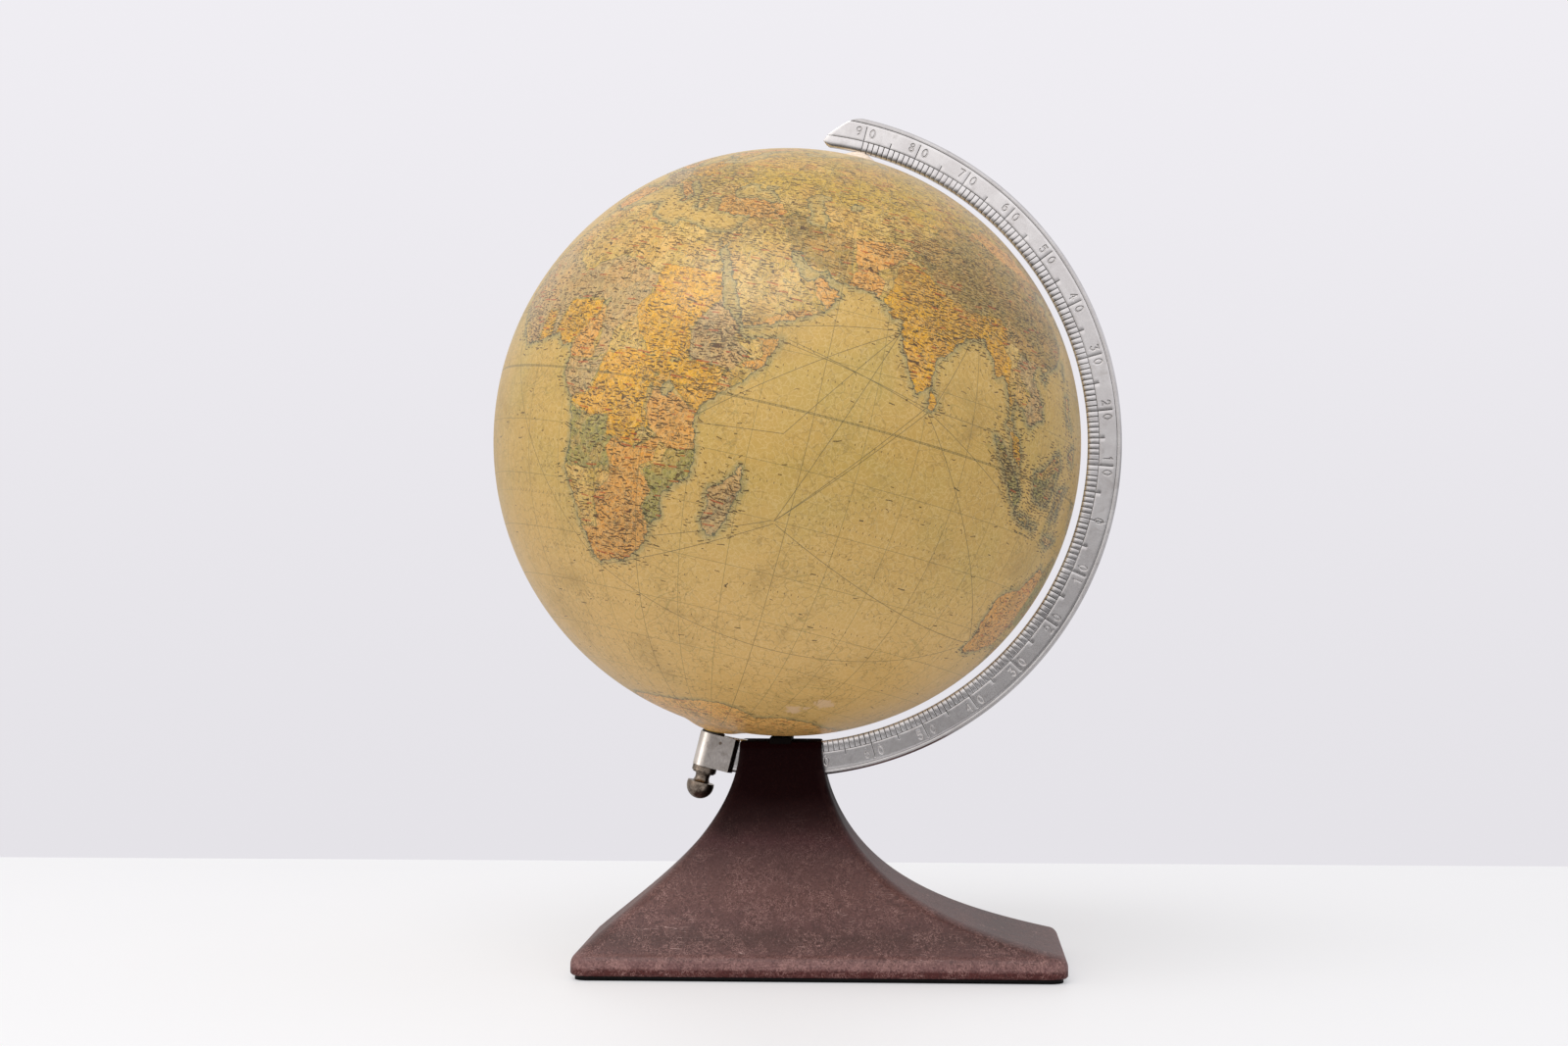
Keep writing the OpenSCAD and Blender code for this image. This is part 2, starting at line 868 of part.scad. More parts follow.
module pole_block(seat) {
    bush_z = seat - bush_l;
    difference() {
        intersection() {
            sphere(r = shell_in - seat_fit, $fn = 180);
            translate([0, 0, block_in])
                cylinder(h = block_h, r = block_r);
        }
        translate([0, 0, block_in - overcut])
            cylinder(h = socket_h + overcut, d = post_d + 2 * seat_fit);
        translate([0, 0, bush_z - seat_fit])
            cylinder(h = bush_l + overcut, d = bush_d + 2 * seat_fit);
        cylinder(h = globe_r, d = pivot_d + 4 * slide_fit);
    }
}

module north_block() {
    color("#b98d5a")
        at_axis()
            pole_block(pole_seat);
}

module south_block() {
    color("#b98d5a")
        at_south()
            pole_block(south_seat);
}

module pole_bush(seat) {
    translate([0, 0, seat - bush_l])
        difference() {
            cylinder(h = bush_l, d = bush_d);
            translate([0, 0, -overcut])
                cylinder(h = bush_l + 2 * overcut, d = pivot_d + 2 * run_fit);
        }
}

module north_bush() {
    color("#b08d4a")
        at_axis()
            pole_bush(pole_seat);
}

module south_bush() {
    color("#b08d4a")
        at_south()
            pole_bush(south_seat);
}

felt_sheet();
bottom_plate();
plate_screws();
foot_shell();
cast_weight();
weight_screws();
guide_channel();
channel_screws();
brake_spring();
brake_pad();
spring_rivet();
slot_keeper();
keeper_screws();
meridian_ring();
clasp_block();
clasp_pin();
north_pivot();
north_washer();
south_washer();
pole_screw();
lock_nut();
north_shell();
south_shell();
map_gores();
polar_sheets();
equator_hoop();
axle_post();
north_block();
south_block();
north_bush();
south_bush();
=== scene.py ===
import math

import bpy
import numpy as np
from mathutils import Matrix, Vector, kdtree


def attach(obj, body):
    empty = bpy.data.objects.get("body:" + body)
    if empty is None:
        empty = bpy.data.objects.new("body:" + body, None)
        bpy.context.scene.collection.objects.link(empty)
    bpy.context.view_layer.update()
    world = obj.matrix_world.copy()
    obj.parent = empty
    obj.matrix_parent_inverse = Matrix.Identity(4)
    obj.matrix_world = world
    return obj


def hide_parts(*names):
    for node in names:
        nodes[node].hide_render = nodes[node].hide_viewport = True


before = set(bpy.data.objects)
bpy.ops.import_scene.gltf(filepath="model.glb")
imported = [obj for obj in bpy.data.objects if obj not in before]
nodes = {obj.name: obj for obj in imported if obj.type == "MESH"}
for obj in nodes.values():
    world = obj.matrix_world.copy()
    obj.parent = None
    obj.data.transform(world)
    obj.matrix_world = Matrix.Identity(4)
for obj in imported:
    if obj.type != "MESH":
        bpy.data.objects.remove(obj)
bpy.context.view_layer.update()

MM = 0.001

# Camera, fitted to the globe and the foot in the photograph
PHOTO = (1600, 1067)
GLOBE_PX = (803.3, 451.9, 299.7)
CAM_D, CAM_H, CAM_TURN = 1.5, -0.07, math.radians(3)

# Driving sizes in millimetres, the same as the model's
GLOBE_R = 165.0
CENTRE_H = 293.5
RING_IN, RING_OUT, RING_T, RING_BEVEL = 169.0, 188.0, 5.0, 1.0
INNER_LINE, OUTER_LINE = RING_IN + 6.3, RING_OUT - 2.7
RING_END = 3.2
NECK_L, NECK_R, NECK_D = 26.0, 19.7, 30.0
FOOT_L, FOOT_R, FOOT_D = 115.0, 154.5, 136.0
RIM_Z, KNEE_R, KNEE_H = 8.0, 7.0, 6.0
NECK_CORNER, FOOT_CORNER = 3.5, 10.0
LEFT_SWEEP, RIGHT_SWEEP, FRONT_SWEEP = 1.13, 0.58, 1.0
FOOT_WALL, NECK_LIP, BOTTOM_Z = 5.0, 1.5, 2.5
SLOT_R, SLOT_W = 193.25, 8.1
NUT_H, NUT_D, SCREW_D = 3.2, 13.8, 5.0
WAIST_D, WAIST_H, HEAD_D = 8.0, 5.6, 15.4
SOUTH_RISE, RISE_R, RISE_TOP_R = 2.6, 21.0, 7.0
CLASP_END, NECK_GAP = 15.8, 0.4

TILT = math.atan(CLASP_END / RING_IN) + math.asin((NECK_L + NECK_GAP) / math.hypot(RING_IN, CLASP_END))
CENTRE = Vector((0, 0, CENTRE_H))
NORTH = Vector((math.sin(TILT), 0, math.cos(TILT)))
ZERO = Vector((math.cos(TILT), 0, -math.sin(TILT)))
# Columns: towards the zero mark of the ring, towards the back, towards the north pole
AXIS = np.array([ZERO, (0, 1, 0), NORTH]).T


def to_world(points):
    """Points of the frame of the ring, in mm, to metres in the row frame"""
    return (np.asarray(points) @ AXIS.T + np.array(CENTRE)) * MM


def add_object(name, data):
    made = bpy.data.objects.new(name, data)
    bpy.context.scene.collection.objects.link(made)
    return made


def add_mesh(name, verts, faces):
    mesh = bpy.data.meshes.new(name)
    mesh.from_pydata([tuple(v) for v in verts], [], faces)
    return add_object(name, mesh)


def set_up(piece, body, covers, sharp=None):
    """Shades a piece smooth up to an angle in degrees, gives it its body, and hides the nodes that it
    covers
    """
    piece.data.shade_smooth()
    if sharp:
        piece.data.set_sharp_from_angle(angle=math.radians(sharp))
    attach(piece, body)
    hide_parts(*covers)
    return piece


def make_camera():
    """Looks at the middle of the globe from a little below, as fitted to the photograph"""
    cam = add_object("camera", bpy.data.cameras.new("camera"))
    bpy.context.scene.camera = cam
    away = math.hypot(CAM_D, CAM_H)
    focal = GLOBE_PX[2] * math.sqrt(away ** 2 - (GLOBE_R * MM) ** 2) / (GLOBE_R * MM)
    cam.data.sensor_width = 36
    cam.data.lens = focal * cam.data.sensor_width / PHOTO[0]
    pan = math.atan((GLOBE_PX[0] - PHOTO[0] / 2) / focal)
    rise = math.atan((PHOTO[1] / 2 - GLOBE_PX[1]) / focal)
    place = Vector((CAM_D * math.sin(CAM_TURN), -CAM_D * math.cos(CAM_TURN), CAM_H))
    cam.location = CENTRE * MM + place
    cam.rotation_euler = (math.pi / 2 + math.atan2(-CAM_H, CAM_D) - rise, 0, CAM_TURN + pan)
    cam.data.clip_end = 50


# Shader helpers

def rgb(code):
    """Linear colour of a web colour such as #b69860"""
    parts = [int(code[i:i + 2], 16) / 255 for i in (1, 3, 5)]
    return tuple(c / 12.92 if c < 0.04045 else ((c + 0.055) / 1.055) ** 2.4 for c in parts) + (1,)


class Value:
    """What a node gives; a sign between two values adds a node that works it out"""

    def __init__(self, shade, socket):
        self.shade = shade
        self.socket = socket

    def __add__(self, other):
        return self.shade.math("ADD", self, other)

    def __radd__(self, other):
        return self.shade.math("ADD", other, self)

    def __sub__(self, other):
        return self.shade.math("SUBTRACT", self, other)

    def __rsub__(self, other):
        return self.shade.math("SUBTRACT", other, self)

    def __mul__(self, other):
        return self.shade.math("MULTIPLY", self, other)

    def __rmul__(self, other):
        return self.shade.math("MULTIPLY", other, self)


class Shade:
    """One material, and short calls that add its nodes"""

    def __init__(self, name):
        self.material = bpy.data.materials.new(name)
        self.clear("ShaderNodeOutputMaterial")
        self.skin = self.tree.nodes.new("ShaderNodeBsdfPrincipled")
        self.put(self.out.inputs["Surface"], self.skin.outputs[0])

    def clear(self, output):
        self.material.use_nodes = True
        self.tree = self.material.node_tree
        self.tree.nodes.clear()
        self.out = self.tree.nodes.new(output)

    def put(self, socket, value):
        """Joins an output to a socket, or sets the socket to a number, a vector or a web colour"""
        if isinstance(value, Value):
            value = value.socket
        if isinstance(value, bpy.types.NodeSocket):
            self.tree.links.new(value, socket)
        elif isinstance(value, str):
            socket.default_value = rgb(value)
        else:
            socket.default_value = value

    def node(self, kind, inputs=(), **settings):
        made = self.tree.nodes.new("ShaderNode" + kind)
        for key, value in settings.items():
            setattr(made, key, value)
        for key, value in dict(inputs).items():
            self.put(made.inputs[key], value)
        return made

    def get(self, kind, inputs=(), output=0, **settings):
        """Adds a node and gives one of its outputs"""
        return Value(self, self.node(kind, inputs, **settings).outputs[output])

    def math(self, operation, *values):
        return self.get("Math", dict(enumerate(values)), operation=operation)

    def most(self, a, b):
        return self.math("MAXIMUM", a, b)

    def least(self, a, b):
        return self.math("MINIMUM", a, b)

    def floor(self, value):
        return self.math("FLOOR", value)

    def fract(self, value):
        return self.math("FRACT", value)

    def dot(self, a, b):
        return self.get("VectorMath", {0: a, 1: b}, "Value", operation="DOT_PRODUCT")

    def scaled(self, vector, factors):
        return self.get("VectorMath", {0: vector, 1: factors}, operation="MULTIPLY")

    def moved(self, vector, offset):
        return self.get("VectorMath", {0: vector, 1: offset}, operation="ADD")

    def vector(self, x, y, z):
        return self.get("CombineXYZ", {"X": x, "Y": y, "Z": z})

    def split(self, vector):
        return [Value(self, part) for part in self.node("SeparateXYZ", {0: vector}).outputs]

    def place(self):
        """Position on the resting object, in metres"""
        return self.get("TexCoord", output="Object")

    def attribute(self, name, kind="Fac"):
        return self.get("Attribute", output=kind, attribute_name=name)

    def noise(self, vector, scale, detail=2.0, rough=0.5, bend=0.0, part="Fac"):
        inputs = {"Vector": vector, "Scale": scale, "Detail": detail, "Roughness": rough,
                  "Distortion": bend}
        return self.get("TexNoise", inputs, part)

    def cells(self, vector, scale, feature="F1"):
        return self.get("TexVoronoi", {"Vector": vector, "Scale": scale}, "Distance", feature=feature)

    def chance(self, x, y, part=None):
        """A random number for a pair of whole numbers, or one of three others"""
        made = self.node("TexWhiteNoise", {"Vector": self.vector(x, y, 0.37)}, noise_dimensions="3D")
        if part is None:
            return Value(self, made.outputs["Value"])
        return self.split(made.outputs["Color"])[part]

    def step(self, value, low, high):
        """Smooth step from 0 at low to 1 at high"""
        inputs = {"Value": value, "From Min": low, "From Max": high}
        return self.get("MapRange", inputs, interpolation_type="SMOOTHSTEP")

    def line(self, value, half, soft=0.5):
        """1 where a value is within half of zero"""
        return self.step(self.math("ABSOLUTE", value), half * (1 + soft), half * (1 - soft))

    def mix(self, factor, a, b, blend="MIX"):
        return self.get("Mix", {"Factor": factor, 6: a, 7: b}, 2, data_type="RGBA", blend_type=blend)

    def over(self, colour, *layers):
        """Lays other colours over one, in turn, each with its share"""
        for share, layer in layers:
            colour = self.mix(share, colour, layer)
        return colour

    def ramp(self, value, stops):
        """Colour between stops of (value, colour), which lie from 0 to 1"""
        made = self.node("ValToRGB", {"Fac": value})
        points = made.color_ramp.elements
        while len(points) < len(stops):
            points.new(0.5)
        for point, (position, colour) in zip(points, stops):
            point.position = position
            point.color = rgb(colour)
        return Value(self, made.outputs["Color"])

    def bump(self, height, distance, strength=1.0, below=None):
        inputs = {"Height": height, "Distance": distance, "Strength": strength}
        if below is not None:
            inputs["Normal"] = below
        return self.get("Bump", inputs)

    def finish(self, colour, roughness, normal=None, **fixed):
        self.put(self.skin.inputs["Base Color"], colour)
        self.put(self.skin.inputs["Roughness"], roughness)
        if normal is not None:
            self.put(self.skin.inputs["Normal"], normal)
        for key, value in fixed.items():
            self.skin.inputs[key.replace("_", " ")].default_value = value
        return self.material


class World(Shade):
    """The same short calls, on the nodes of a world"""

    def __init__(self, name):
        self.material = bpy.data.worlds.new(name)
        self.clear("ShaderNodeOutputWorld")


def dress(piece, material):
    piece.data.materials.clear()
    piece.data.materials.append(material)


# Foot

def drop(z):
    """How far down a height is between the neck's top, 0, and the knee, 1"""
    return min(1, max(0, (NECK_Z - z) / (NECK_Z - KNEE_Z)))


def sweep(t, share):
    """The curve of a side from the neck, 0, to the knee, 1"""
    return share * t ** 2 + (1 - share) * t ** 6


def reach(z, neck, foot, share):
    """How far a side lies from the middle at a height, in mm"""
    if z <= KNEE_Z:
        cut = 0 if z < RIM_Z else KNEE_R - math.sqrt(KNEE_R ** 2 - (z - RIM_Z) ** 2)
        return foot - cut
    knee_in = KNEE_R - math.sqrt(KNEE_R ** 2 - KNEE_H ** 2)
    return neck + (foot - knee_in - neck) * sweep(drop(z), share)


NECK_Z = CENTRE_H - RING_IN + NECK_LIP
KNEE_Z = RIM_Z + KNEE_H
CORNER_STEPS, SIDE_STEPS = 8, 14
# Each side: its reach at the neck and at the foot, and how evenly it sweeps from one to the other
LEFT, RIGHT = (NECK_L, FOOT_L, LEFT_SWEEP), (NECK_R, FOOT_R, RIGHT_SWEEP)
FRONT = (NECK_D / 2, FOOT_D / 2, FRONT_SWEEP)


def level(z, inset, out_z):
    """The foot's closed outline at height z, moved in by inset and laid at out_z, with round corners"""
    x0 = -reach(z, *LEFT) + inset
    x1 = reach(z, *RIGHT) - inset
    y1 = reach(z, *FRONT) - inset
    r = max(1, NECK_CORNER + (FOOT_CORNER - NECK_CORNER) * drop(z) - inset)
    centres = [(x1 - r, y1 - r), (x0 + r, y1 - r), (x0 + r, r - y1), (x1 - r, r - y1)]
    points = []
    for k, (cx, cy) in enumerate(centres):
        for j in range(CORNER_STEPS + 1):
            a = math.radians(90 * k + 90 * j / CORNER_STEPS)
            points.append((cx + r * math.cos(a), cy + r * math.sin(a), out_z))
        nx, ny = centres[(k + 1) % 4]
        b = math.radians(90 * (k + 1))
        start, end = points[-1], (nx + r * math.cos(b), ny + r * math.sin(b))
        for j in range(1, SIDE_STEPS):
            f = j / SIDE_STEPS
            points.append((start[0] + (end[0] - start[0]) * f, start[1] + (end[1] - start[1]) * f, out_z))
    return points


def skin(levels):
    """Faces over a stack of closed outlines, capped at both ends"""
    n = len(levels[0])
    verts = [p for outline in levels for p in outline]
    faces = [tuple(reversed(range(n))), tuple(range((len(levels) - 1) * n, len(levels) * n))]
    for s in range(len(levels) - 1):
        for i in range(n):
            j = (i + 1) % n
            faces.append((s * n + i, s * n + j, (s + 1) * n + j, (s + 1) * n + i))
    return verts, faces


def solid(name, verts, faces):
    """A mesh from points in mm in the row frame"""
    return add_mesh(name, [Vector(v) * MM for v in verts], faces)


def disc(radius, half, steps=240):
    """A flat disc about the centre of the globe, in the plane of the ring"""
    verts = []
    for y in (-half, half):
        for i in range(steps):
            a = 2 * math.pi * i / steps
            verts.append((radius * math.sin(a), y, CENTRE_H + radius * math.cos(a)))
    faces = [tuple(range(steps)), tuple(reversed(range(steps, 2 * steps)))]
    faces += [(i, i + steps, (i + 1) % steps + steps, (i + 1) % steps) for i in range(steps)]
    return solid("disc", verts, faces)


def carve(target, tool):
    """Applies a cut to the target's mesh and deletes the tool"""
    cut = target.modifiers.new("cut", "BOOLEAN")
    cut.object = tool
    cut.operation = "DIFFERENCE"
    cut.solver = "EXACT"
    bpy.context.view_layer.update()
    graph = bpy.context.evaluated_depsgraph_get()
    shaped = bpy.data.meshes.new_from_object(target.evaluated_get(graph))
    target.modifiers.clear()
    target.data = shaped
    bpy.data.objects.remove(tool)


def make_foot():
    """The swept shell of the foot, hollow below, with the slot for the ring cut out of its neck"""
    # Rounding of the neck's top edge, and how far the lowest outline is drawn in, in mm
    top, hem = 1.2, 0.9
    knee_steps, sweep_steps, round_steps = 8, 70, 5
    zs = [BOTTOM_Z, 3.4, 5.5, 7.4]
    zs += [RIM_Z + KNEE_H * i / knee_steps for i in range(knee_steps + 1)]
    rise = NECK_Z - top - KNEE_Z
    zs += [KNEE_Z + rise * (i / sweep_steps) ** 1.25 for i in range(1, sweep_steps + 1)]
    levels = [level(z, hem if z == BOTTOM_Z else 0, z) for z in zs]
    for i in range(1, round_steps + 1):
        a = math.radians(90 * i / round_steps)
        z = NECK_Z - top * (1 - math.sin(a))
        levels.append(level(z, top * (1 - math.cos(a)), z))
    foot = solid("foot_shell_moulded", *skin(levels))
    # The hollow is open below and ends 8 mm under the slot
    low, high = BOTTOM_Z - 1, CENTRE_H - SLOT_R - 8
    inner = [low + (high - low) * f for f in (0, 0.04, 0.1, 0.18, 0.3, 0.45, 0.6, 0.8, 1)]
    carve(foot, solid("hollow", *skin([level(z + FOOT_WALL, FOOT_WALL, z) for z in inner])))
    carve(foot, disc(SLOT_R, SLOT_W / 2))
    foot.data.name = foot.name
    # The long edges wear brighter: 1 on an edge, less away from it
    ridge = []
    for vert in foot.data.vertices:
        x, y, z = vert.co / MM
        side_x = reach(z, *(RIGHT if x > 0 else LEFT)) - abs(x)
        side_y = reach(z, *FRONT) - abs(y)
        ridge.append(math.exp(-max(0, side_x + side_y - 1) / 6))
    foot.data.attributes.new("edge", "FLOAT", "POINT").data.foreach_set("value", ridge)
    return set_up(foot, "base", ("foot_shell",), sharp=35)


# Globe

GLOBE_CELLS = 128


def cube_sphere(cells):
    """Unit vectors and quads of a sphere made from a cube with evenly turned faces"""
    t = np.tan(np.linspace(-math.pi / 4, math.pi / 4, cells + 1))
    u, v = np.meshgrid(t, t, indexing="ij")
    one = np.ones_like(u)
    sides = [(one, u, v), (-one, v, u), (v, one, u), (u, -one, v), (u, v, one), (v, u, -one)]
    points = np.concatenate([np.stack(s, -1).reshape(-1, 3) for s in sides])
    points /= np.linalg.norm(points, axis=1)[:, None]
    row = np.arange(cells)
    i, j = np.meshgrid(row, row, indexing="ij")
    a = (i * (cells + 1) + j).ravel()
    quad = np.stack([a, a + cells + 1, a + cells + 2, a + 1], 1)
    quads = np.concatenate([quad + k * (cells + 1) ** 2 for k in range(6)])
    # Two sides of the cube share the points on an edge, which become one
    keys = np.round(points * 1e6).astype(np.int64)
    _, first, back = np.unique(keys, axis=0, return_index=True, return_inverse=True)
    return points[first], back.ravel()[quads]


def make_globe():
    """The papered globe, and its points as unit vectors in the frame of the pins"""
    points, quads = cube_sphere(GLOBE_CELLS)
    shape = points * GLOBE_R
    # The paper swells round the south pole
    away = np.hypot(shape[:, 0], shape[:, 1])
    t = np.clip((RISE_R - away) / (RISE_R - RISE_TOP_R), 0, 1)
    shape[:, 2] -= np.where(shape[:, 2] < 0, SOUTH_RISE * t * t * (3 - 2 * t), 0)
    globe = add_mesh("map_paper_globe", to_world(shape), quads.tolist())
    globe.data.validate()
    return set_up(globe, "globe", ("map_gores", "polar_sheets")), points


# Pole screw and north washer

def lathe(name, profile, body, covers, steps=96, sharp=35, north=False):
    """Turns a profile of (distance from the axis, distance from the centre) about the polar axis"""
    verts, faces, rings = [], [], []
    for r, z in profile:
        if r == 0:
            rings.append([len(verts)])
            verts.append((0, 0, z if north else -z))
            continue
        rings.append([len(verts) + i for i in range(steps)])
        for i in range(steps):
            a = 2 * math.pi * i / steps
            verts.append((r * math.cos(a), r * math.sin(a), z if north else -z))
    for low, high in zip(rings, rings[1:]):
        for i in range(steps):
            j = (i + 1) % steps
            if len(low) == 1:
                faces.append((low[0], high[i], high[j]))
            elif len(high) == 1:
                faces.append((low[i], high[0], low[j]))
            else:
                faces.append((low[i], high[i], high[j], low[j]))
    if north:
        faces = [tuple(reversed(face)) for face in faces]
    turned = add_mesh(name, to_world(verts), faces)
    turned.data.validate()
    return set_up(turned, body, covers, sharp)


def arc(cx, cy, rx, ry, start, end, steps=8):
    """Points on an arc of an ellipse, with angles in degrees"""
    angles = [math.radians(start + (end - start) * i / steps) for i in range(steps + 1)]
    return [(cx + rx * math.cos(a), cy + ry * math.sin(a)) for a in angles]


def make_pole_screw():
    """Tip, flange, hollow waist and domed head, in mm from the centre of the globe"""
    pole_seat = GLOBE_R + SOUTH_RISE + 0.3
    tip = pole_seat - 9
    waist = RING_OUT + NUT_H + 0.3
    head = waist + WAIST_H
    # Radii of the tip, of the flange under the nut and of the waist's hollow curve
    tip_r, flange, scoop = 1.5, NUT_D / 2 - 0.7, 4.2
    profile = [(0, tip), (tip_r - 0.5, tip), (tip_r, tip + 0.6), (tip_r, pole_seat + 0.3)]
    profile += [(SCREW_D / 2, pole_seat + 0.8), (SCREW_D / 2, waist)]
    profile += arc(flange - 0.3, waist + 0.3, 0.3, 0.3, -90, 0, 4)
    profile += [(flange - 0.05, waist + 0.5), (flange - 0.9, waist + 0.75)]
    profile += arc(WAIST_D / 2 + scoop, waist + WAIST_H / 2, scoop, scoop, 220, 140, 12)
    profile += [(flange - 1.4, head - 0.15)]
    profile += arc(0, head + 2, HEAD_D / 2, HEAD_D / 2, -14, 84, 26)
    profile += [(0, head + 2 + HEAD_D / 2)]
    return lathe("pole_screw_turned", profile, "screw", ("pole_screw",))


def make_north_washer():
    """A pale domed washer that lies close on the paper"""
    hole, top = 1.55, RING_IN - 0.05
    # Radius, and height over the paper: out along the underside, round the rim and up the dome
    rises = ((hole, 0.7), (6.3, 0.7), (6.4, 0.28), (10.3, 0.02), (10.6, 0.06), (10.6, 0.2), (10.2, 0.5),
             (8.6, 1.3), (6.6, 2.35), (4.8, 3.3))
    profile = [(r, GLOBE_R + rise) for r, rise in rises]
    profile += [(3.3, top - 0.1), (2.8, top), (hole, top)]
    return lathe("north_washer_domed", profile, "meridian", ("north_washer",), north=True)


# Meridian ring

# Engraving in mm: the digits and their places, half widths, depths, and the reach of the long marks
DIGIT_W, DIGIT_H, DIGIT_OFF, DIGIT_R, STROKE = 3.0, 4.4, 4.0, 180.5, 0.48
TICK_HALF, LINE_HALF = 0.34, 0.22
GROOVE, DIGIT_CUT = 0.05, 0.1
TICK_5, TICK_10 = 3.0, 8.2
# Where the scale ends, and the last column before the slanting end, in degrees
SCALE_END, LAST = 90.3, 92.0


# Strokes of the digits in a box of 1 by 1 about the origin
DIGITS = {
    0: [arc(0, 0, 0.42, 0.5, 0, 360, 16)],
    1: [[(-0.2, 0.3), (0.05, 0.5), (0.05, -0.5)]],
    2: [arc(0, 0.2, 0.38, 0.3, 170, -35, 8) + [(-0.4, -0.5), (0.42, -0.5)]],
    3: [[(-0.36, 0.5), (0.36, 0.5), (-0.02, 0.12)] + arc(0, -0.19, 0.4, 0.31, 90, -150, 8)],
    4: [[(0.2, -0.5), (0.2, 0.5), (-0.42, -0.18), (0.44, -0.18)]],
    5: [[(0.36, 0.5), (-0.28, 0.5), (-0.34, 0.08)] + arc(0, -0.17, 0.39, 0.33, 130, -150, 9)],
    6: [arc(0, -0.2, 0.4, 0.3, 0, 360, 12), arc(0.1, -0.1, 0.5, 0.6, 170, 100, 5)],
    7: [[(-0.4, 0.5), (0.4, 0.5), (-0.1, -0.5)]],
    8: [arc(0, 0.26, 0.31, 0.24, 0, 360, 12), arc(0, -0.24, 0.38, 0.26, 0, 360, 12)],
    9: [arc(0, 0.2, 0.4, 0.3, 0, 360, 12), arc(-0.1, 0.1, 0.5, 0.6, -10, -80, 5)],
}


def stroke_distance(x, y, lines):
    """Distance of points to polylines"""
    best = np.full(x.shape, 9.0)
    for line in lines:
        for (ax, ay), (bx, by) in zip(line, line[1:]):
            dx, dy = bx - ax, by - ay
            t = np.clip(((x - ax) * dx + (y - ay) * dy) / (dx * dx + dy * dy), 0, 1)
            best = np.minimum(best, np.hypot(x - ax - t * dx, y - ay - t * dy))
    return best


def groove(distance, half):
    """1 in the middle of a groove and 0 outside it"""
    return np.clip(1.35 - distance / half, 0, 1)


def ring_cut(lam, r):
    """Share of the full depth of the lines and of the digits at a latitude mark and a radius"""
    along = np.radians(lam - np.round(lam)) * r
    mark = np.round(np.abs(lam)).astype(int)
    long = np.where(mark % 10 == 0, TICK_10, np.where(mark % 5 == 0, TICK_5, 0))
    cut = np.where((r <= INNER_LINE + long) & (mark <= 90), groove(np.abs(along), TICK_HALF), 0)
    for line in (INNER_LINE, OUTER_LINE):
        cut = np.maximum(cut, groove(np.abs(r - line), LINE_HALF))
    stamped = np.zeros(lam.shape)
    for label in range(-90, 91, 10):
        arc_mm = np.radians(lam - label) * DIGIT_R
        near = (np.abs(arc_mm) < DIGIT_OFF + DIGIT_W) & (np.abs(r - DIGIT_R) < DIGIT_H)
        if not near.any():
            continue
        turn = 1 if label >= 0 else -1
        x, y = -turn * arc_mm[near], turn * (r[near] - DIGIT_R)
        tens, ones = divmod(abs(label), 10)
        places = [(ones, 0.0)] if label == 0 else [(tens, -DIGIT_OFF), (ones, DIGIT_OFF)]
        best = np.full(x.shape, 9.0)
        for digit, at in places:
            shape = [[(at + px * DIGIT_W, py * DIGIT_H) for px, py in line] for line in DIGITS[digit]]
            best = np.minimum(best, stroke_distance(x, y, shape))
        stamped[near] = np.maximum(stamped[near], groove(best, STROKE / 2 + 0.08))
    return cut, stamped


# The slanting north end, as latitude marks over radii, with its two corners rounded
END_R = (169, 169.5, 170.4, 171.6, 173, 176.4, 181, 184.5, 186.2, 187.3, 188)
END_LAM = (96.1, 96.75, 97.25, 97.45, 97.35, 96.55, 94.95, 93.7, 92.9, 92.0, 91.1)


def end_of_ring(r):
    """Latitude mark where the ring ends at a radius"""
    return np.interp(r, END_R, END_LAM)


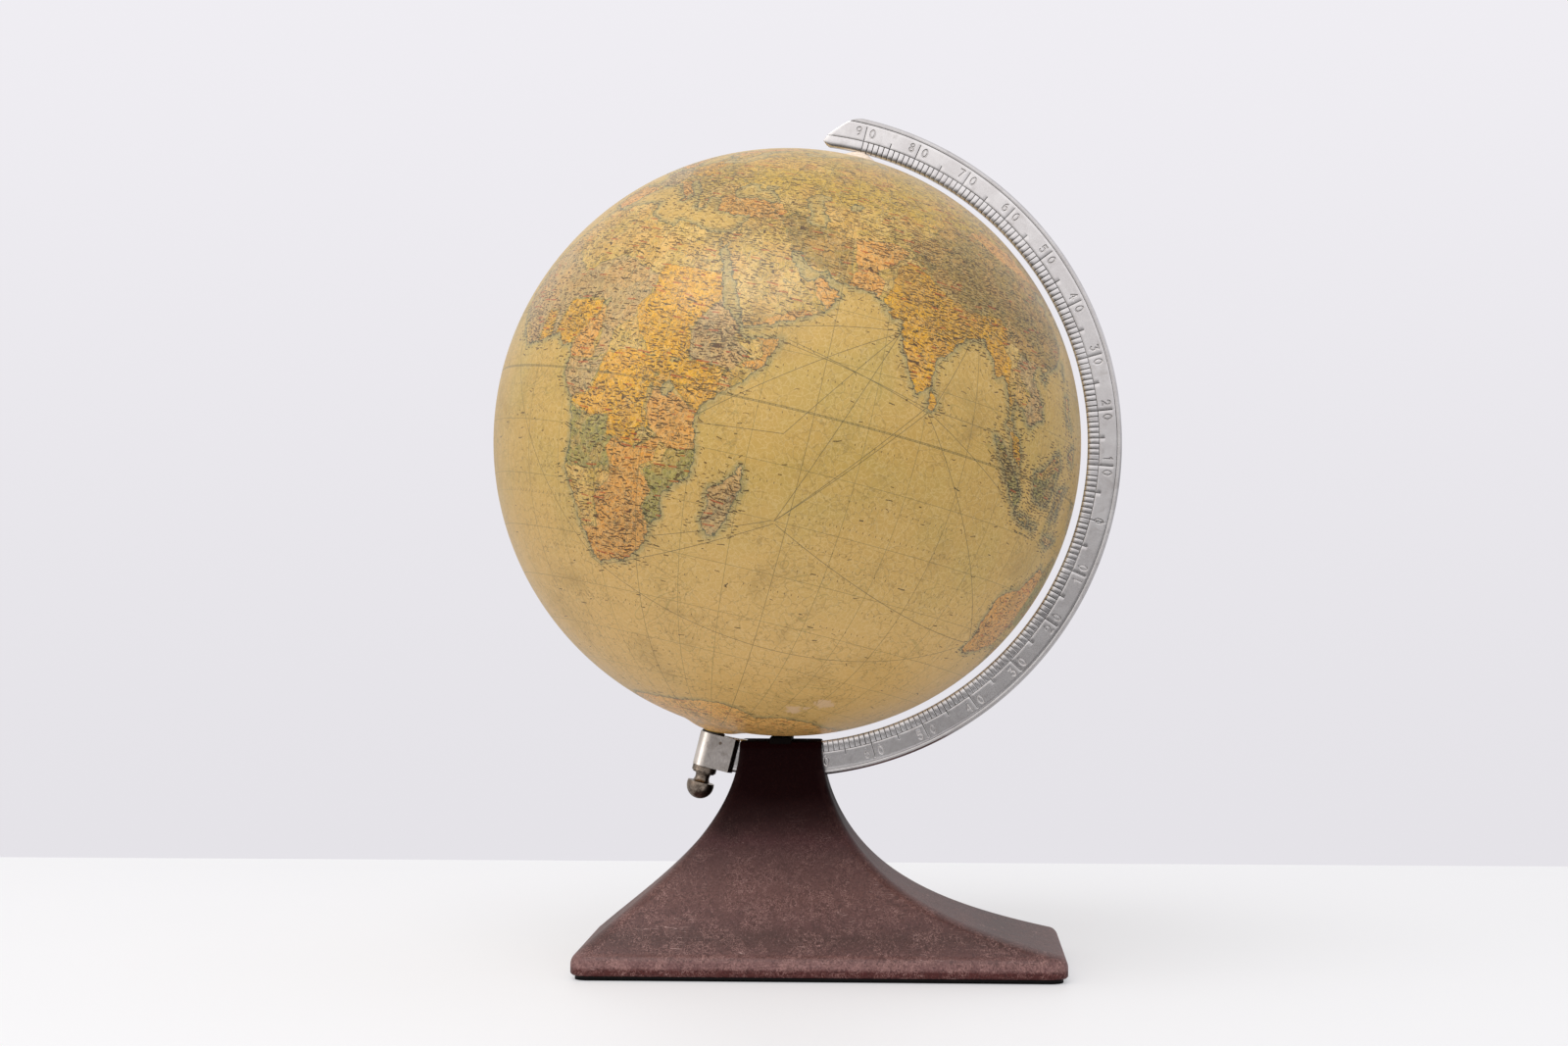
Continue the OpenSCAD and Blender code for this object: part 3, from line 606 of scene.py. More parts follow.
def make_ring():
    """The half ring, with its scale cut into a fine grid of its front, and its end slanted"""
    # Pitch of the grid under the digits, in mm
    fine = 0.22
    digit_rows = np.arange(DIGIT_R - DIGIT_H / 2 - 0.45, DIGIT_R + DIGIT_H / 2 + 0.5, fine)
    rows = [RING_IN, RING_IN + 0.12, RING_IN + 0.4, RING_IN + 3, INNER_LINE + 1.4, INNER_LINE + TICK_5]
    rows += [INNER_LINE + TICK_10, INNER_LINE + TICK_10 + 0.2, INNER_LINE + TICK_5 + 0.2]
    for line in (INNER_LINE, OUTER_LINE):
        rows += [line + k for k in (-0.34, -0.19, -0.08, 0.08, 0.19, 0.34)]
    rows = np.unique(np.round(np.concatenate([rows, digit_rows]), 3))
    rows = rows[np.concatenate([[True], np.diff(rows) > 0.045])]
    rows = np.concatenate([rows, [RING_OUT - RING_BEVEL, RING_OUT - 0.5 * RING_BEVEL, RING_OUT - 0.1]])
    across = np.degrees(np.array([-0.48, -0.2, -0.08, 0.08, 0.2, 0.48]) / RING_IN)
    cols = [np.arange(-88, 91)[:, None] + across[None, :]]
    span = np.degrees((DIGIT_OFF + DIGIT_W / 2 + 0.5) / DIGIT_R)
    for label in range(-80, 91, 10):
        gap = np.degrees((DIGIT_OFF - DIGIT_W / 2 - 0.5) / DIGIT_R)
        part = np.arange(-span, span, np.degrees(fine / DIGIT_R))
        part = part[np.abs(part) > gap] if label else part[np.abs(part) < span / 2.6]
        cols.append(label + part)
    cols = np.unique(np.round(np.concatenate([c.ravel() for c in cols]), 4))
    start = -90 + math.degrees(RING_END / RING_IN)
    keep = [start]
    for value in cols[(cols > start + 0.1) & (cols < LAST)]:
        if value - keep[-1] > 0.012:
            keep.append(value)
    keep = np.array(keep + [LAST])

    def spread(radii):
        """Latitude marks of every column for each radius, drawn in where the end is cut back"""
        end = end_of_ring(radii)
        limit = np.minimum(LAST, end - 0.75)
        squeeze = SCALE_END + (keep[:, None] - SCALE_END) * (limit - SCALE_END) / (LAST - SCALE_END)
        lam = np.where(keep[:, None] > SCALE_END, squeeze, keep[:, None])
        edge = end - np.degrees(0.55 / radii)
        parts = [limit + (edge - limit) * f for f in (0.3, 0.6, 0.85, 1)]
        parts += [end - np.degrees(k / radii) for k in (0.32, 0.12, 0)]
        return np.concatenate([lam, np.array(parts)])

    half = RING_T / 2
    lam = spread(rows)
    # How far the faces are drawn in at the last columns, which rounds off the end
    round_off = np.zeros(len(lam))
    round_off[-3:] = 0.1, 0.3, 0.62
    rad = np.repeat(rows[None, :], len(lam), 0)
    cut, digit = ring_cut(lam, rad)
    bevel = np.clip(rad - (RING_OUT - RING_BEVEL), 0, None)
    lip = np.clip(0.4 - (rad - RING_IN), 0, None)
    depth = GROOVE * cut + DIGIT_CUT * digit
    front = -half + np.maximum(bevel + lip ** 2 * 1.6 + depth, round_off[:, None])
    back_rows = np.array([RING_OUT, RING_OUT, RING_OUT - RING_BEVEL, INNER_LINE, RING_IN + 0.25, RING_IN])
    back_y = np.array([-half + RING_BEVEL, half - RING_BEVEL, half, half, half, half - 0.25])
    back_lam = spread(back_rows)
    back = np.minimum(back_y[None, :], half - round_off[:, None])
    lam_all = np.concatenate([lam, back_lam], 1)
    rad_all = np.concatenate([rad, np.repeat(back_rows[None, :], len(lam), 0)], 1)
    y_all = np.concatenate([front, back], 1)
    a = np.radians(lam_all + 90)
    points = np.stack([rad_all * np.sin(a), y_all, -rad_all * np.cos(a)], -1)
    m, n = lam_all.shape
    i, j = np.meshgrid(np.arange(m - 1), np.arange(n), indexing="ij")
    a0, a1 = i * n + j, i * n + (j + 1) % n
    quads = np.stack([a0, a0 + n, a1 + n, a1], -1).reshape(-1, 4)
    faces = quads.tolist() + [tuple(range(n)), tuple(reversed(range((m - 1) * n, m * n)))]
    ring = add_mesh("meridian_ring_engraved", to_world(points.reshape(-1, 3)), faces)
    ring.data.validate()
    set_up(ring, "meridian", ("meridian_ring",), sharp=34)
    for name, values in (("cut", cut), ("digit", digit)):
        full = np.zeros((m, n), np.float32)
        full[:, :len(rows)] = values
        ring.data.attributes.new(name, "FLOAT", "POINT").data.foreach_set("value", full.ravel())
    return ring


# Map: outlines in degrees of longitude and latitude, drawn one by one

LAND = {
    "africa": [
        (-6, 36), (-2, 35), (3, 37), (10, 37.3), (11, 34), (15, 32.3), (20, 31), (20, 33), (23, 32.6),
        (29, 31), (32.5, 31.2), (32.5, 29.8), (34, 27), (36, 23.5), (37.3, 20), (39, 16), (41, 14.5),
        (43.2, 12.4), (43.2, 11.4), (45, 10.5), (48, 11.2), (51.2, 11.9), (51, 10.3), (49.5, 7),
        (47.5, 4), (45, 1.8), (42, -0.8), (40, -2.8), (39, -5), (39.5, -7), (40.5, -10.5),
        (40.6, -15), (37, -17.8), (35, -20), (35.4, -23.8), (32.8, -25.8), (32.5, -28.5),
        (30.5, -31), (27, -33.6), (22.5, -34), (20, -34.8), (18.3, -34), (17.8, -31.5),
        (15.5, -27.5), (14.5, -22.5), (12, -18), (13.5, -12.5), (13, -8.5), (11.8, -4.8),
        (8.9, -1), (9.5, 2.5), (8.8, 4.5), (6, 4.3), (4, 6.4), (-2, 4.9), (-7.7, 4.4),
        (-11.5, 6.9), (-13.3, 9), (-15, 11), (-17, 12.8), (-17.4, 14.8), (-16.3, 19), (-17, 21),
        (-14.8, 25.5), (-12, 28), (-9.7, 30), (-9, 32.5)],
    "madagascar": [
        (49.3, -12), (50.4, -15.5), (49.5, -18), (47.2, -24.8), (45, -25.5), (43.5, -23),
        (44.4, -20), (44, -17), (46.5, -15.7)],
    "eurasia": [
        (32.4, 31.2), (32.6, 30), (34.2, 28), (35, 29.5), (35, 28), (37.2, 25), (39, 21.5),
        (41.5, 17.5), (42.8, 15), (43.5, 12.7), (45, 12.9), (48, 14), (52, 15.6), (55, 17.3),
        (57.7, 19), (59.8, 22.4), (58.6, 23.6), (56.5, 24.9), (56.3, 26.3), (54, 24.2),
        (51.6, 24.3), (51.2, 26), (50.2, 26.5), (48.5, 28.5), (48, 30), (50, 30.2), (51.5, 27.8),
        (54, 26.6), (56.8, 27.1), (57.5, 25.6), (61.5, 25.1), (66.5, 25.3), (67.5, 23.8),
        (70.3, 22.8), (69, 22.2), (70.8, 20.8), (72.6, 21.3), (72.8, 19), (73.5, 16), (74.8, 13),
        (76.2, 10), (77.5, 8.1), (78.3, 9), (79.9, 10.3), (80.2, 13.3), (80.3, 15.7), (82.4, 16.7),
        (85, 19.5), (87, 21.3), (89, 22), (91.5, 22.6), (92.3, 20.8), (94, 18.5), (94.5, 16),
        (97, 16.7), (98, 14), (98.6, 10.5), (98.3, 8), (100.3, 6), (101.3, 2.8), (103.6, 1.3),
        (103.4, 4), (102, 6.3), (100.2, 8), (99.3, 10), (100, 13.3), (101, 12.6), (102.5, 12),
        (104.8, 9), (106.7, 10.4), (109.2, 11.7), (109.2, 13.8), (107.5, 16.7), (105.8, 19),
        (106.8, 20.8), (108.5, 21.7), (110, 20.4), (112, 21.8), (114.3, 22.5), (117, 23.5),
        (119.5, 25.5), (121.7, 28.5), (121.9, 30.8), (120.5, 33.5), (119.3, 35), (122.3, 37),
        (119, 37.4), (118, 39), (121, 40.6), (121.6, 39), (124.4, 40), (125, 38), (126.3, 34.5),
        (129.2, 35.3), (129.3, 37.5), (127.5, 39.5), (130.7, 42.3), (133, 42.8), (136, 45),
        (140.3, 48.5), (140.8, 53), (137.5, 54), (135.3, 55), (141, 58.5), (149, 59.5),
        (155, 59.3), (160, 61.7), (163, 62.4), (161, 59.5), (156.8, 57.7), (155.7, 54),
        (156.7, 51), (160, 53.2), (162.3, 56), (163.5, 59.8), (170, 60), (177, 62.5),
        (180, 65), (190, 66), (184, 67.5), (180, 69), (170, 70), (161, 69.5), (152, 71),
        (140, 72.5), (130, 71), (127, 73.5), (113, 74), (113, 76), (104, 77.6), (98, 76),
        (87, 75), (81, 73.5), (80, 72), (75, 72), (73, 71), (74, 68.5), (71, 66.5), (70, 73),
        (67, 71.5), (67, 69), (60, 69), (54, 68.5), (46, 68), (44, 66.3), (40, 64.7), (37.5, 64),
        (34.8, 64.5), (33, 66.7), (41, 66.7), (41, 67.7), (33, 69.4), (29, 70.7), (25, 71),
        (19, 69.8), (14, 67.5), (12, 64.5), (9, 63.3), (5, 61.8), (5.5, 59), (8, 58),
        (10.6, 59.2), (12, 57), (14.3, 55.5), (16, 56.5), (17, 59), (18.7, 60.3), (17.3, 62),
        (21.5, 64.6), (24, 65.8), (25.3, 65), (21.5, 63), (21.5, 61), (23, 59.9), (28, 60.4),
        (29.8, 59.9), (24, 59.4), (23.6, 58.3), (24.2, 57), (22.5, 57.5), (21, 55.5),
        (19.5, 54.4), (14, 54), (11, 54), (10.5, 56), (10.4, 57.5), (8.2, 57), (8.3, 54),
        (5, 53.3), (3.3, 51.4), (1.6, 50.2), (-1.5, 49.6), (-4.6, 48.5), (-2.2, 47.2),
        (-1.2, 44.8), (-1.8, 43.4), (-8, 43.7), (-9.2, 43), (-8.8, 41), (-9.4, 38.8),
        (-8.8, 37), (-6.5, 36.9), (-5.6, 36), (-2, 36.8), (-0.5, 38.2), (0, 39.7), (3, 41.9),
        (3.2, 43.1), (6.5, 43.1), (8.8, 44.4), (10.4, 43.5), (12.5, 41.5), (15.7, 39.8),
        (15.9, 38), (17, 39), (16.5, 40.2), (18.4, 40), (15.9, 41.8), (13.7, 43.5),
        (12.4, 45), (13.7, 45.6), (15, 44.5), (17.5, 43), (19.5, 41.6), (19.4, 40.2),
        (21.2, 38.3), (21.7, 36.9), (22.8, 36.6), (23.9, 38), (22.8, 39.5), (23.5, 40.3),
        (26, 40.7), (26.5, 39.8), (26.8, 38.5), (27.5, 37), (30.5, 36.6), (32.5, 36.1),
        (36, 36.7), (35.9, 35), (35, 32.8), (34.3, 31.4)],
    "britain": [
        (-5.6, 50.1), (-3, 50.7), (1.3, 51.1), (1.7, 52.7), (0.2, 53), (-1.6, 55), (-2.2, 57.5),
        (-3.3, 58.6), (-5, 58.6), (-6, 56.5), (-4.8, 54.7), (-3, 54), (-4.5, 53), (-5, 51.8),
        (-3, 51.5)],
    "ireland": [(-6, 52.2), (-6, 54.4), (-7.5, 55.3), (-10, 54), (-10, 51.7)],
    "iceland": [(-22.5, 64), (-18.7, 63.4), (-13.8, 65), (-16, 66.4), (-20.5, 65.8), (-24, 65.6)],
    "svalbard": [(11, 79), (17, 76.7), (24, 78), (27, 80), (16, 80)],
    "novaya_zemlya": [(52, 71), (57, 70.7), (58, 73.5), (68.5, 76.7), (61, 76.2), (54.5, 73.5)],
    "sri_lanka": [(80, 9.8), (81.8, 7.5), (81, 6), (80.1, 6), (79.8, 8)],
    "sumatra": [
        (95.3, 5.6), (98, 4.5), (103.7, -1), (106, -3), (105.8, -5.8), (104, -5), (100.4, -1),
        (98, 1.8)],
    "java": [(105.3, -6.5), (108.5, -6.7), (114.4, -7.7), (114.5, -8.6), (108.5, -7.8)],
    "borneo": [
        (109, 1.5), (111.5, 2.6), (115, 5.3), (116.8, 6.9), (119, 5.2), (117.7, 1), (116.5, -3.5),
        (114, -3.6), (110.2, -2.8), (109, 0.3)],
    "sulawesi": [
        (119.7, 0.6), (124.9, 1.5), (121, 0.4), (123.3, -1), (121.7, -2), (122.8, -4.8),
        (121.3, -3), (120.4, -5.5), (119.5, -5.3), (119.5, -3)],
    "timor": [(119, -8.6), (124, -8.4), (127, -8.5), (123.6, -10.3), (120, -9.8)],
    "new_guinea": [
        (131, -0.8), (134.2, -0.9), (135.2, -3.3), (138, -1.6), (141, -2.6), (145, -4.3),
        (147.8, -6), (147, -7), (150.7, -10.5), (147, -9.8), (143.3, -9), (139, -8),
        (137.7, -5.3), (133, -4), (133, -2.5)],
    "luzon": [(120.3, 18.5), (122.2, 18.4), (121.6, 15.5), (124, 12.7), (120.6, 13.8), (120, 16)],
    "mindanao": [(122, 7), (123.5, 8.7), (125.5, 9.7), (126.4, 7), (125.5, 5.7), (124, 6.5)],
    "taiwan": [(120.2, 23), (121, 25.2), (121.9, 25), (120.8, 22)],
    "hainan": [(108.7, 19.2), (110.9, 20), (110.3, 18.5)],
    "honshu": [
        (130, 31.4), (131.5, 31.4), (132, 33.7), (135.7, 33.5), (137, 34.6), (140.8, 35.6),
        (141.8, 39.5), (141.2, 41.4), (140, 40), (138.5, 37.5), (136, 35.8), (131, 34.5),
        (129.7, 33)],
    "hokkaido": [(140, 42), (141.2, 42.5), (143.3, 42), (145.5, 43.3), (142, 45.4), (141.5, 43.2)],
    "sakhalin": [(142, 46), (143.3, 49.3), (143, 54.3), (142, 53.5), (142, 49)],
    "australia": [
        (113.7, -22.6), (114.2, -21.8), (117, -20.7), (121, -19.5), (122.3, -17.3),
        (125.5, -14.2), (128.3, -15), (130.2, -12.8), (132.5, -11.4), (136.8, -12.2),
        (135.5, -15), (139.3, -17.5), (141, -16), (141.6, -12.6), (142.5, -10.8),
        (143.7, -14.4), (145.4, -15), (146.4, -19), (149, -20.5), (150.8, -23.5),
        (153.2, -25.5), (153.5, -29), (152.5, -32.5), (150, -37), (146.3, -39), (143.5, -38.7),
        (140, -37.8), (138.4, -35), (137.5, -33), (136, -34.8), (134, -32.7), (131.2, -31.5),
        (126, -32.3), (123.5, -33.9), (118, -35), (115, -34.3), (115.8, -31.8), (114, -27.5)],
    "tasmania": [(144.8, -41), (148.3, -41), (147.5, -43.5), (146, -43.5)],
    "north_island": [
        (172.8, -34.5), (175.5, -36.8), (178.4, -37.8), (175.5, -41.5), (173.8, -39.3),
        (174.8, -37)],
    "south_island": [
        (172.7, -40.6), (174.2, -41.5), (171, -44.5), (169, -46.6), (166.5, -46), (170.5, -42.8)],
    "greenland": [
        (-44, 60), (-41, 63), (-33, 67.5), (-22, 70.5), (-19, 75), (-17, 80), (-28, 83.4),
        (-46, 82.8), (-60, 81.8), (-73, 78.5), (-66, 75.9), (-55, 72), (-53.5, 67), (-50, 62)],
    "north_america": [
        (-79.5, 9), (-83, 8.2), (-85.7, 10.5), (-87.5, 13), (-94, 16.2), (-99.5, 16.7),
        (-105.5, 20.2), (-109, 25.5), (-112.7, 30), (-114.7, 31.5), (-111.5, 26.5), (-110, 23),
        (-112.2, 25), (-114.2, 28.5), (-117, 32.5), (-120.6, 34.6), (-122.5, 37.8),
        (-124.3, 40.5), (-124, 46.3), (-123, 48.8), (-127.5, 51), (-130, 54.5), (-134, 58),
        (-139.5, 59.7), (-146, 60.8), (-151.5, 59.4), (-158, 56.3), (-164, 54.7), (-158, 58.6),
        (-162, 60), (-166, 62), (-161, 64.5), (-168, 65.7), (-163, 67), (-166, 68.5),
        (-156.5, 71.3), (-141, 69.7), (-128, 70.2), (-115, 68.2), (-108, 68), (-96, 68),
        (-93, 71.5), (-84, 69.5), (-82, 67), (-87, 64), (-93, 62), (-94.7, 58.8), (-88, 56.5),
        (-82.3, 55), (-81, 51.5), (-78.8, 52), (-76.7, 57), (-78, 62.3), (-70, 61), (-65, 59.5),
        (-61.5, 56.5), (-56, 52), (-60, 50.2), (-66.5, 50), (-70, 47), (-64.5, 48.8),
        (-64.5, 46), (-61, 45.5), (-65.8, 43.6), (-67, 44.8), (-70.3, 43.5), (-70, 41.7),
        (-74, 40.6), (-75.8, 37), (-76, 34.8), (-81, 32), (-81.3, 30), (-80.2, 26.5),
        (-81, 25.2), (-82.7, 28), (-84, 30), (-89.4, 30.2), (-94, 29.5), (-97.3, 27.7),
        (-97.7, 22.5), (-95.5, 18.7), (-92, 18.6), (-90.4, 21), (-87, 21.5), (-88, 18.3),
        (-88.5, 15.9), (-83.3, 15), (-83.7, 11), (-81.5, 8.9), (-79.5, 9.5), (-77.5, 8.5)],
    "baffin": [(-66, 62), (-72, 67), (-85, 73.5), (-79, 73.7), (-68, 70), (-61.5, 66.5)],
    "victoria": [(-117, 70), (-105, 69), (-105, 73), (-117, 73)],
    "ellesmere": [(-90, 77), (-80, 76.3), (-62, 82.4), (-80, 83), (-92, 81)],
    "newfoundland": [(-59, 47.8), (-53, 46.8), (-55.5, 51.5)],
    "cuba": [(-84.8, 21.9), (-80.5, 23.1), (-75, 20.7), (-77.6, 19.9), (-81, 22)],
    "hispaniola": [(-74.4, 18.4), (-73, 19.9), (-68.5, 18.5), (-71.5, 17.7)],
    "south_america": [
        (-77.5, 8.5), (-75.5, 10.8), (-71.5, 12.3), (-68, 11), (-62, 10.7), (-60, 8.5), (-57, 6),
        (-51.5, 4.5), (-50, 0.5), (-44.3, -2.5), (-39.5, -3), (-35.2, -5.5), (-34.8, -8),
        (-38.5, -13), (-39, -17.5), (-41, -22), (-46.5, -24.2), (-48.7, -28), (-53.5, -34),
        (-57, -34.7), (-57.6, -38.2), (-62.2, -38.8), (-65, -41), (-63.7, -42.8), (-67.3, -46),
        (-65.8, -47.8), (-69, -51), (-68.3, -53.3), (-65.3, -54.8), (-68.5, -55.6),
        (-73.5, -52.5), (-75.5, -48.5), (-73.5, -42), (-73.5, -37.2), (-71.4, -30),
        (-70.3, -20), (-76, -14), (-79.5, -7.5), (-81.2, -5), (-80, -2), (-78, 2), (-77.3, 5)],
    "antarctica": [
        (-180, -78.5), (-160, -78), (-150, -77.3), (-135, -74.5), (-115, -74), (-100, -73),
        (-80, -73.3), (-68, -70), (-63, -64.8), (-57.5, -63.3), (-61, -67), (-62, -75),
        (-50, -78), (-35, -78), (-20, -73.5), (-8, -70.7), (10, -70), (30, -69.5), (45, -67.5),
        (57, -66.7), (70, -68.8), (75, -69.5), (85, -66.8), (100, -66), (115, -66.7),
        (130, -66), (145, -67), (160, -69.5), (170, -72), (165, -78), (179.9, -78.5),
        (179.9, -90), (-180, -90)],
}

LAKES = {
    "black_sea": [
        (29, 41.2), (31.5, 41.3), (35, 42), (38.5, 41), (41.5, 41.5), (39.5, 43.7), (37.5, 45),
        (39, 47), (35, 46), (36.5, 45.3), (34, 44.5), (33.3, 46), (31, 46.6), (29, 45),
        (28, 43.3)],
    "caspian": [
        (47, 45), (49, 46.5), (52.8, 46.6), (53, 45), (51, 44.6), (52.7, 42.5), (52.6, 41.5),
        (54, 39.5), (53.8, 37), (50.5, 37.3), (49, 38.8), (49.6, 40.5), (47.8, 42.8)],
    "aral": [(58.3, 45), (60, 46.5), (61.6, 45.5), (60, 43.7), (58.4, 43.8)],
    "baikal": [(104, 51.6), (107, 52.5), (109.8, 55.7), (108.5, 53)],
    "victoria": [(31.8, -0.5), (33, 0.4), (34.2, -0.3), (33.5, -2.2), (32, -2.6)],
    "chad": [(13.2, 12.6), (14.6, 14), (15, 12.8)],
    "superior": [(-92, 46.7), (-88, 48.8), (-84.6, 46.7), (-88, 46.7)],
    "michigan": [(-87.8, 42), (-86.5, 45.8), (-81, 46), (-81.5, 43.4), (-84, 45.5), (-86.2, 43.5)],
    "erie": [(-83, 41.6), (-79, 42.8), (-79.5, 43.4), (-76.4, 44)],
}

# Tints of the countries; each outline may run out over the sea
TINTS = {
    "yellow": [
        [(23.8, 22.5), (37.2, 22), (38.5, 18), (36.5, 14.5), (34.5, 10.5), (35.8, 4.6), (30.8, 3.6),
         (27.5, 5), (24, 8.5), (22.2, 11), (22, 13.5), (24, 16)],
        [(18.2, 3.5), (24, 5.2), (30.8, 3.5), (31, 2), (29.5, -1), (29.3, -4.5), (31, -8.5),
         (28.5, -9), (28, -12.5), (24, -11), (22, -11.2), (21.8, -7.3), (17.5, -8), (12, -6),
         (12.5, -4.8), (16, -4.2), (17.5, -1)],
        [(30.5, 3.8), (35.8, 4.8), (42.5, 4.5), (42, -2), (39.5, -5), (37.5, -3), (34, -1), (29.7, -1.3)],
        [(2.8, 3), (2.8, 9), (4, 13.3), (13.3, 13.5), (13.5, 11), (11.5, 6.8), (9, 5.8), (8.3, 3)],
        [(-3, 3.5), (-2.8, 11), (0.5, 11), (1.2, 5)],
        [(68, 23.5), (70, 28), (71, 32), (74, 34.5), (78.5, 32.5), (81, 30), (88, 27.3), (97, 28.3),
         (98.5, 25.5), (97.5, 22), (99.5, 20.3), (98, 16), (99.2, 12), (96, 9), (92, 15), (83, 4),
         (77, 6), (70, 12), (65, 22)],
        [(98.7, 7.5), (102.5, 6.5), (105, 2), (103, 0.8), (99.5, 3.5)],
        [(-125, 49), (-95, 49), (-83, 46), (-75, 45), (-66, 47), (-65, 43), (-75, 33), (-79, 24),
         (-98, 25), (-106, 31.5), (-117, 32.5), (-127, 40)],
        [(-73, -50), (-70, -30), (-65, -22), (-58, -26), (-57, -33), (-60, -40), (-64, -56), (-71, -56)],
        [(138, -8), (138, -26), (141, -26), (141, -38), (156, -38), (156, -20), (145, -8)],
        [(5, 50), (8, 47.5), (15, 47), (18, 49), (14, 51), (17, 54.5), (8, 55)],
    ],
    "orange": [
        [(15, -28.6), (20, -28), (20, -22), (24, -18), (22, -13), (24, -11), (28.5, -12.5),
         (33.2, -9.5), (33, -14), (30.3, -15.6), (33, -19.5), (31.3, -22.3), (32.9, -26.8),
         (34, -29), (27, -36), (16, -36)],
        [(30.5, -1), (34, -1), (37.5, -3), (39.5, -5), (42, -10.5), (35, -11.5), (33, -9.5),
         (31, -8.3), (29.5, -5)],
        [(8.6, 4.5), (10, 7), (13.5, 11), (14.5, 12.5), (15.5, 8), (14.5, 5), (16, 2), (8.5, 2.2)],
        [(26, 36), (26, 41.5), (31, 42.5), (42, 41.5), (44.5, 39.5), (42, 37.2), (36, 35.8)],
        [(60.8, 36), (62, 29.5), (66, 29.5), (70, 32), (74.5, 36.5), (70, 38), (65, 36.8)],
        [(61.5, 24.5), (61.8, 29), (66, 29.3), (68.5, 28), (67.5, 23.5)],
        [(45, 12), (52.5, 14.5), (56.5, 17.2), (54.5, 18.5), (50, 16.4), (45.5, 13.8)],
        [(54.5, 24.5), (56.5, 26.8), (60.5, 22.5), (58, 18.8), (55.5, 21.5)],
        [(43, 11.8), (44, 10.5), (48, 11), (48.5, 8), (45, 5.5), (49, 5), (53, 12)],
        [(96, 49), (103, 50.5), (115, 47.5), (122, 41), (114, 42), (104, 44)],
        [(112, -20), (129, -12), (129, -33), (113, -37)],
        [(-180, -90), (-180, -60), (179.9, -60), (179.9, -90)],
        [(-141, 70), (-141, 60), (-130, 55), (-122, 49), (-95, 49), (-83, 46), (-79, 45),
         (-64, 44), (-50, 47), (-60, 62), (-80, 74), (-125, 72)],
        [(-60, 5), (-52, 5), (-33, -4), (-38, -18), (-48, -29), (-56, -30), (-58, -20), (-65, -10),
         (-70, -5), (-66, 1)],
        [(5, 63), (8, 57.5), (12, 58), (13, 62), (25, 69), (30, 71), (14, 69)],
        [(-10, 44), (3.3, 42.3), (-1, 36), (-10, 36)],
        [(-11, 50), (2, 50.5), (2.5, 53), (-2, 60), (-9, 58), (-11, 51)],
        [(7, 44), (13.5, 46.3), (19, 40), (16, 36.5), (12, 38)],
    ],
    "lavender": [
        [(-18, 15), (-17.5, 21), (-8.7, 27.3), (3, 19.3), (12, 23.5), (15.5, 23), (24, 19.5),
         (22.2, 11), (18.5, 8), (18.5, 3.5), (15, 2), (16, 5), (14.5, 12.5), (13, 14), (4, 13.5),
         (2.6, 9), (2.6, 4.5), (1.3, 5), (0.8, 11), (-3, 11.3), (-3.2, 4), (-7, 4), (-9, 8),
         (-13, 10), (-18, 12.5)],
        [(8, 2.1), (16, 1.9), (18, 3.3), (17.2, -1), (15.5, -4.2), (12, -5), (8.3, -2)],
        [(36.5, 14.5), (38.5, 18), (43.5, 12.5), (42, 11), (46, 8.5), (44.5, 5), (41.5, 4),
         (36, 4.8), (34.2, 8), (34.6, 10.8)],
        [(42, -11), (52, -11), (51, -27), (42, -27)],
        [(102, 22.5), (108, 21.7), (110.5, 12), (105, 8), (102.5, 11.8), (105, 15), (101, 18),
         (100.5, 20.5)],
        [(-74, 59), (-10, 60), (-10, 84), (-73, 84)],
        [(-82, -4), (-76, 1), (-70, -5), (-69, -12), (-69.5, -18), (-72, -19), (-82, -8)],
        [(-5, 49), (2, 51.3), (8, 49), (7, 43.5), (-2, 43)],
        [(128, 30), (142.5, 34), (147, 44), (141, 46), (135, 37), (128, 34.3)],
    ],
    "green": [
        [(11, -17.3), (12, -6), (17.5, -8.1), (21.8, -7.4), (22, -11.3), (24, -11.2), (23.9, -17.3)],
        [(42, -10.6), (35, -11.6), (34.5, -14.3), (30.3, -15.4), (33, -19.5), (31.4, -22.4),
         (32, -27), (34.5, -26.5), (37, -23), (36.5, -19), (42, -15)],
        [(-118, 32.5), (-106, 31.5), (-97, 25.5), (-96, 18), (-86, 22), (-84, 12), (-84, 7), (-95, 15),
         (-107, 19), (-113, 24)],
        [(-73, 11), (-60, 9), (-60, 4), (-67, 1), (-71, 2), (-73, 7)],
        [(129.2, -10), (138, -10), (138, -26), (129.2, -26)],
        [(-9.5, 42), (-7, 42), (-7, 37), (-9.5, 37)],
        [(108, -4.2), (108, 1), (113, 1), (118, 4), (120, 1), (117, -5)],
        [(94, 6.5), (99, 4.8), (107, -3), (106, -6.2), (95, 3)],
    ],
    "russet": [
        [(74, 39), (80, 42), (87, 49), (95, 48.8), (104, 43.8), (113, 42), (121, 41), (122.5, 52),
         (131, 48), (132, 43), (127, 40.5), (122.5, 30), (117, 22.5), (108, 21.5), (102, 22),
         (98.5, 27.5), (88, 28), (80, 31), (75, 35.5)],
        [(44, 37), (45.5, 40), (49, 38.5), (54, 37), (60.8, 36), (61, 31), (61.7, 25), (57, 27),
         (51.5, 28), (48, 30.5)],
    ],
}

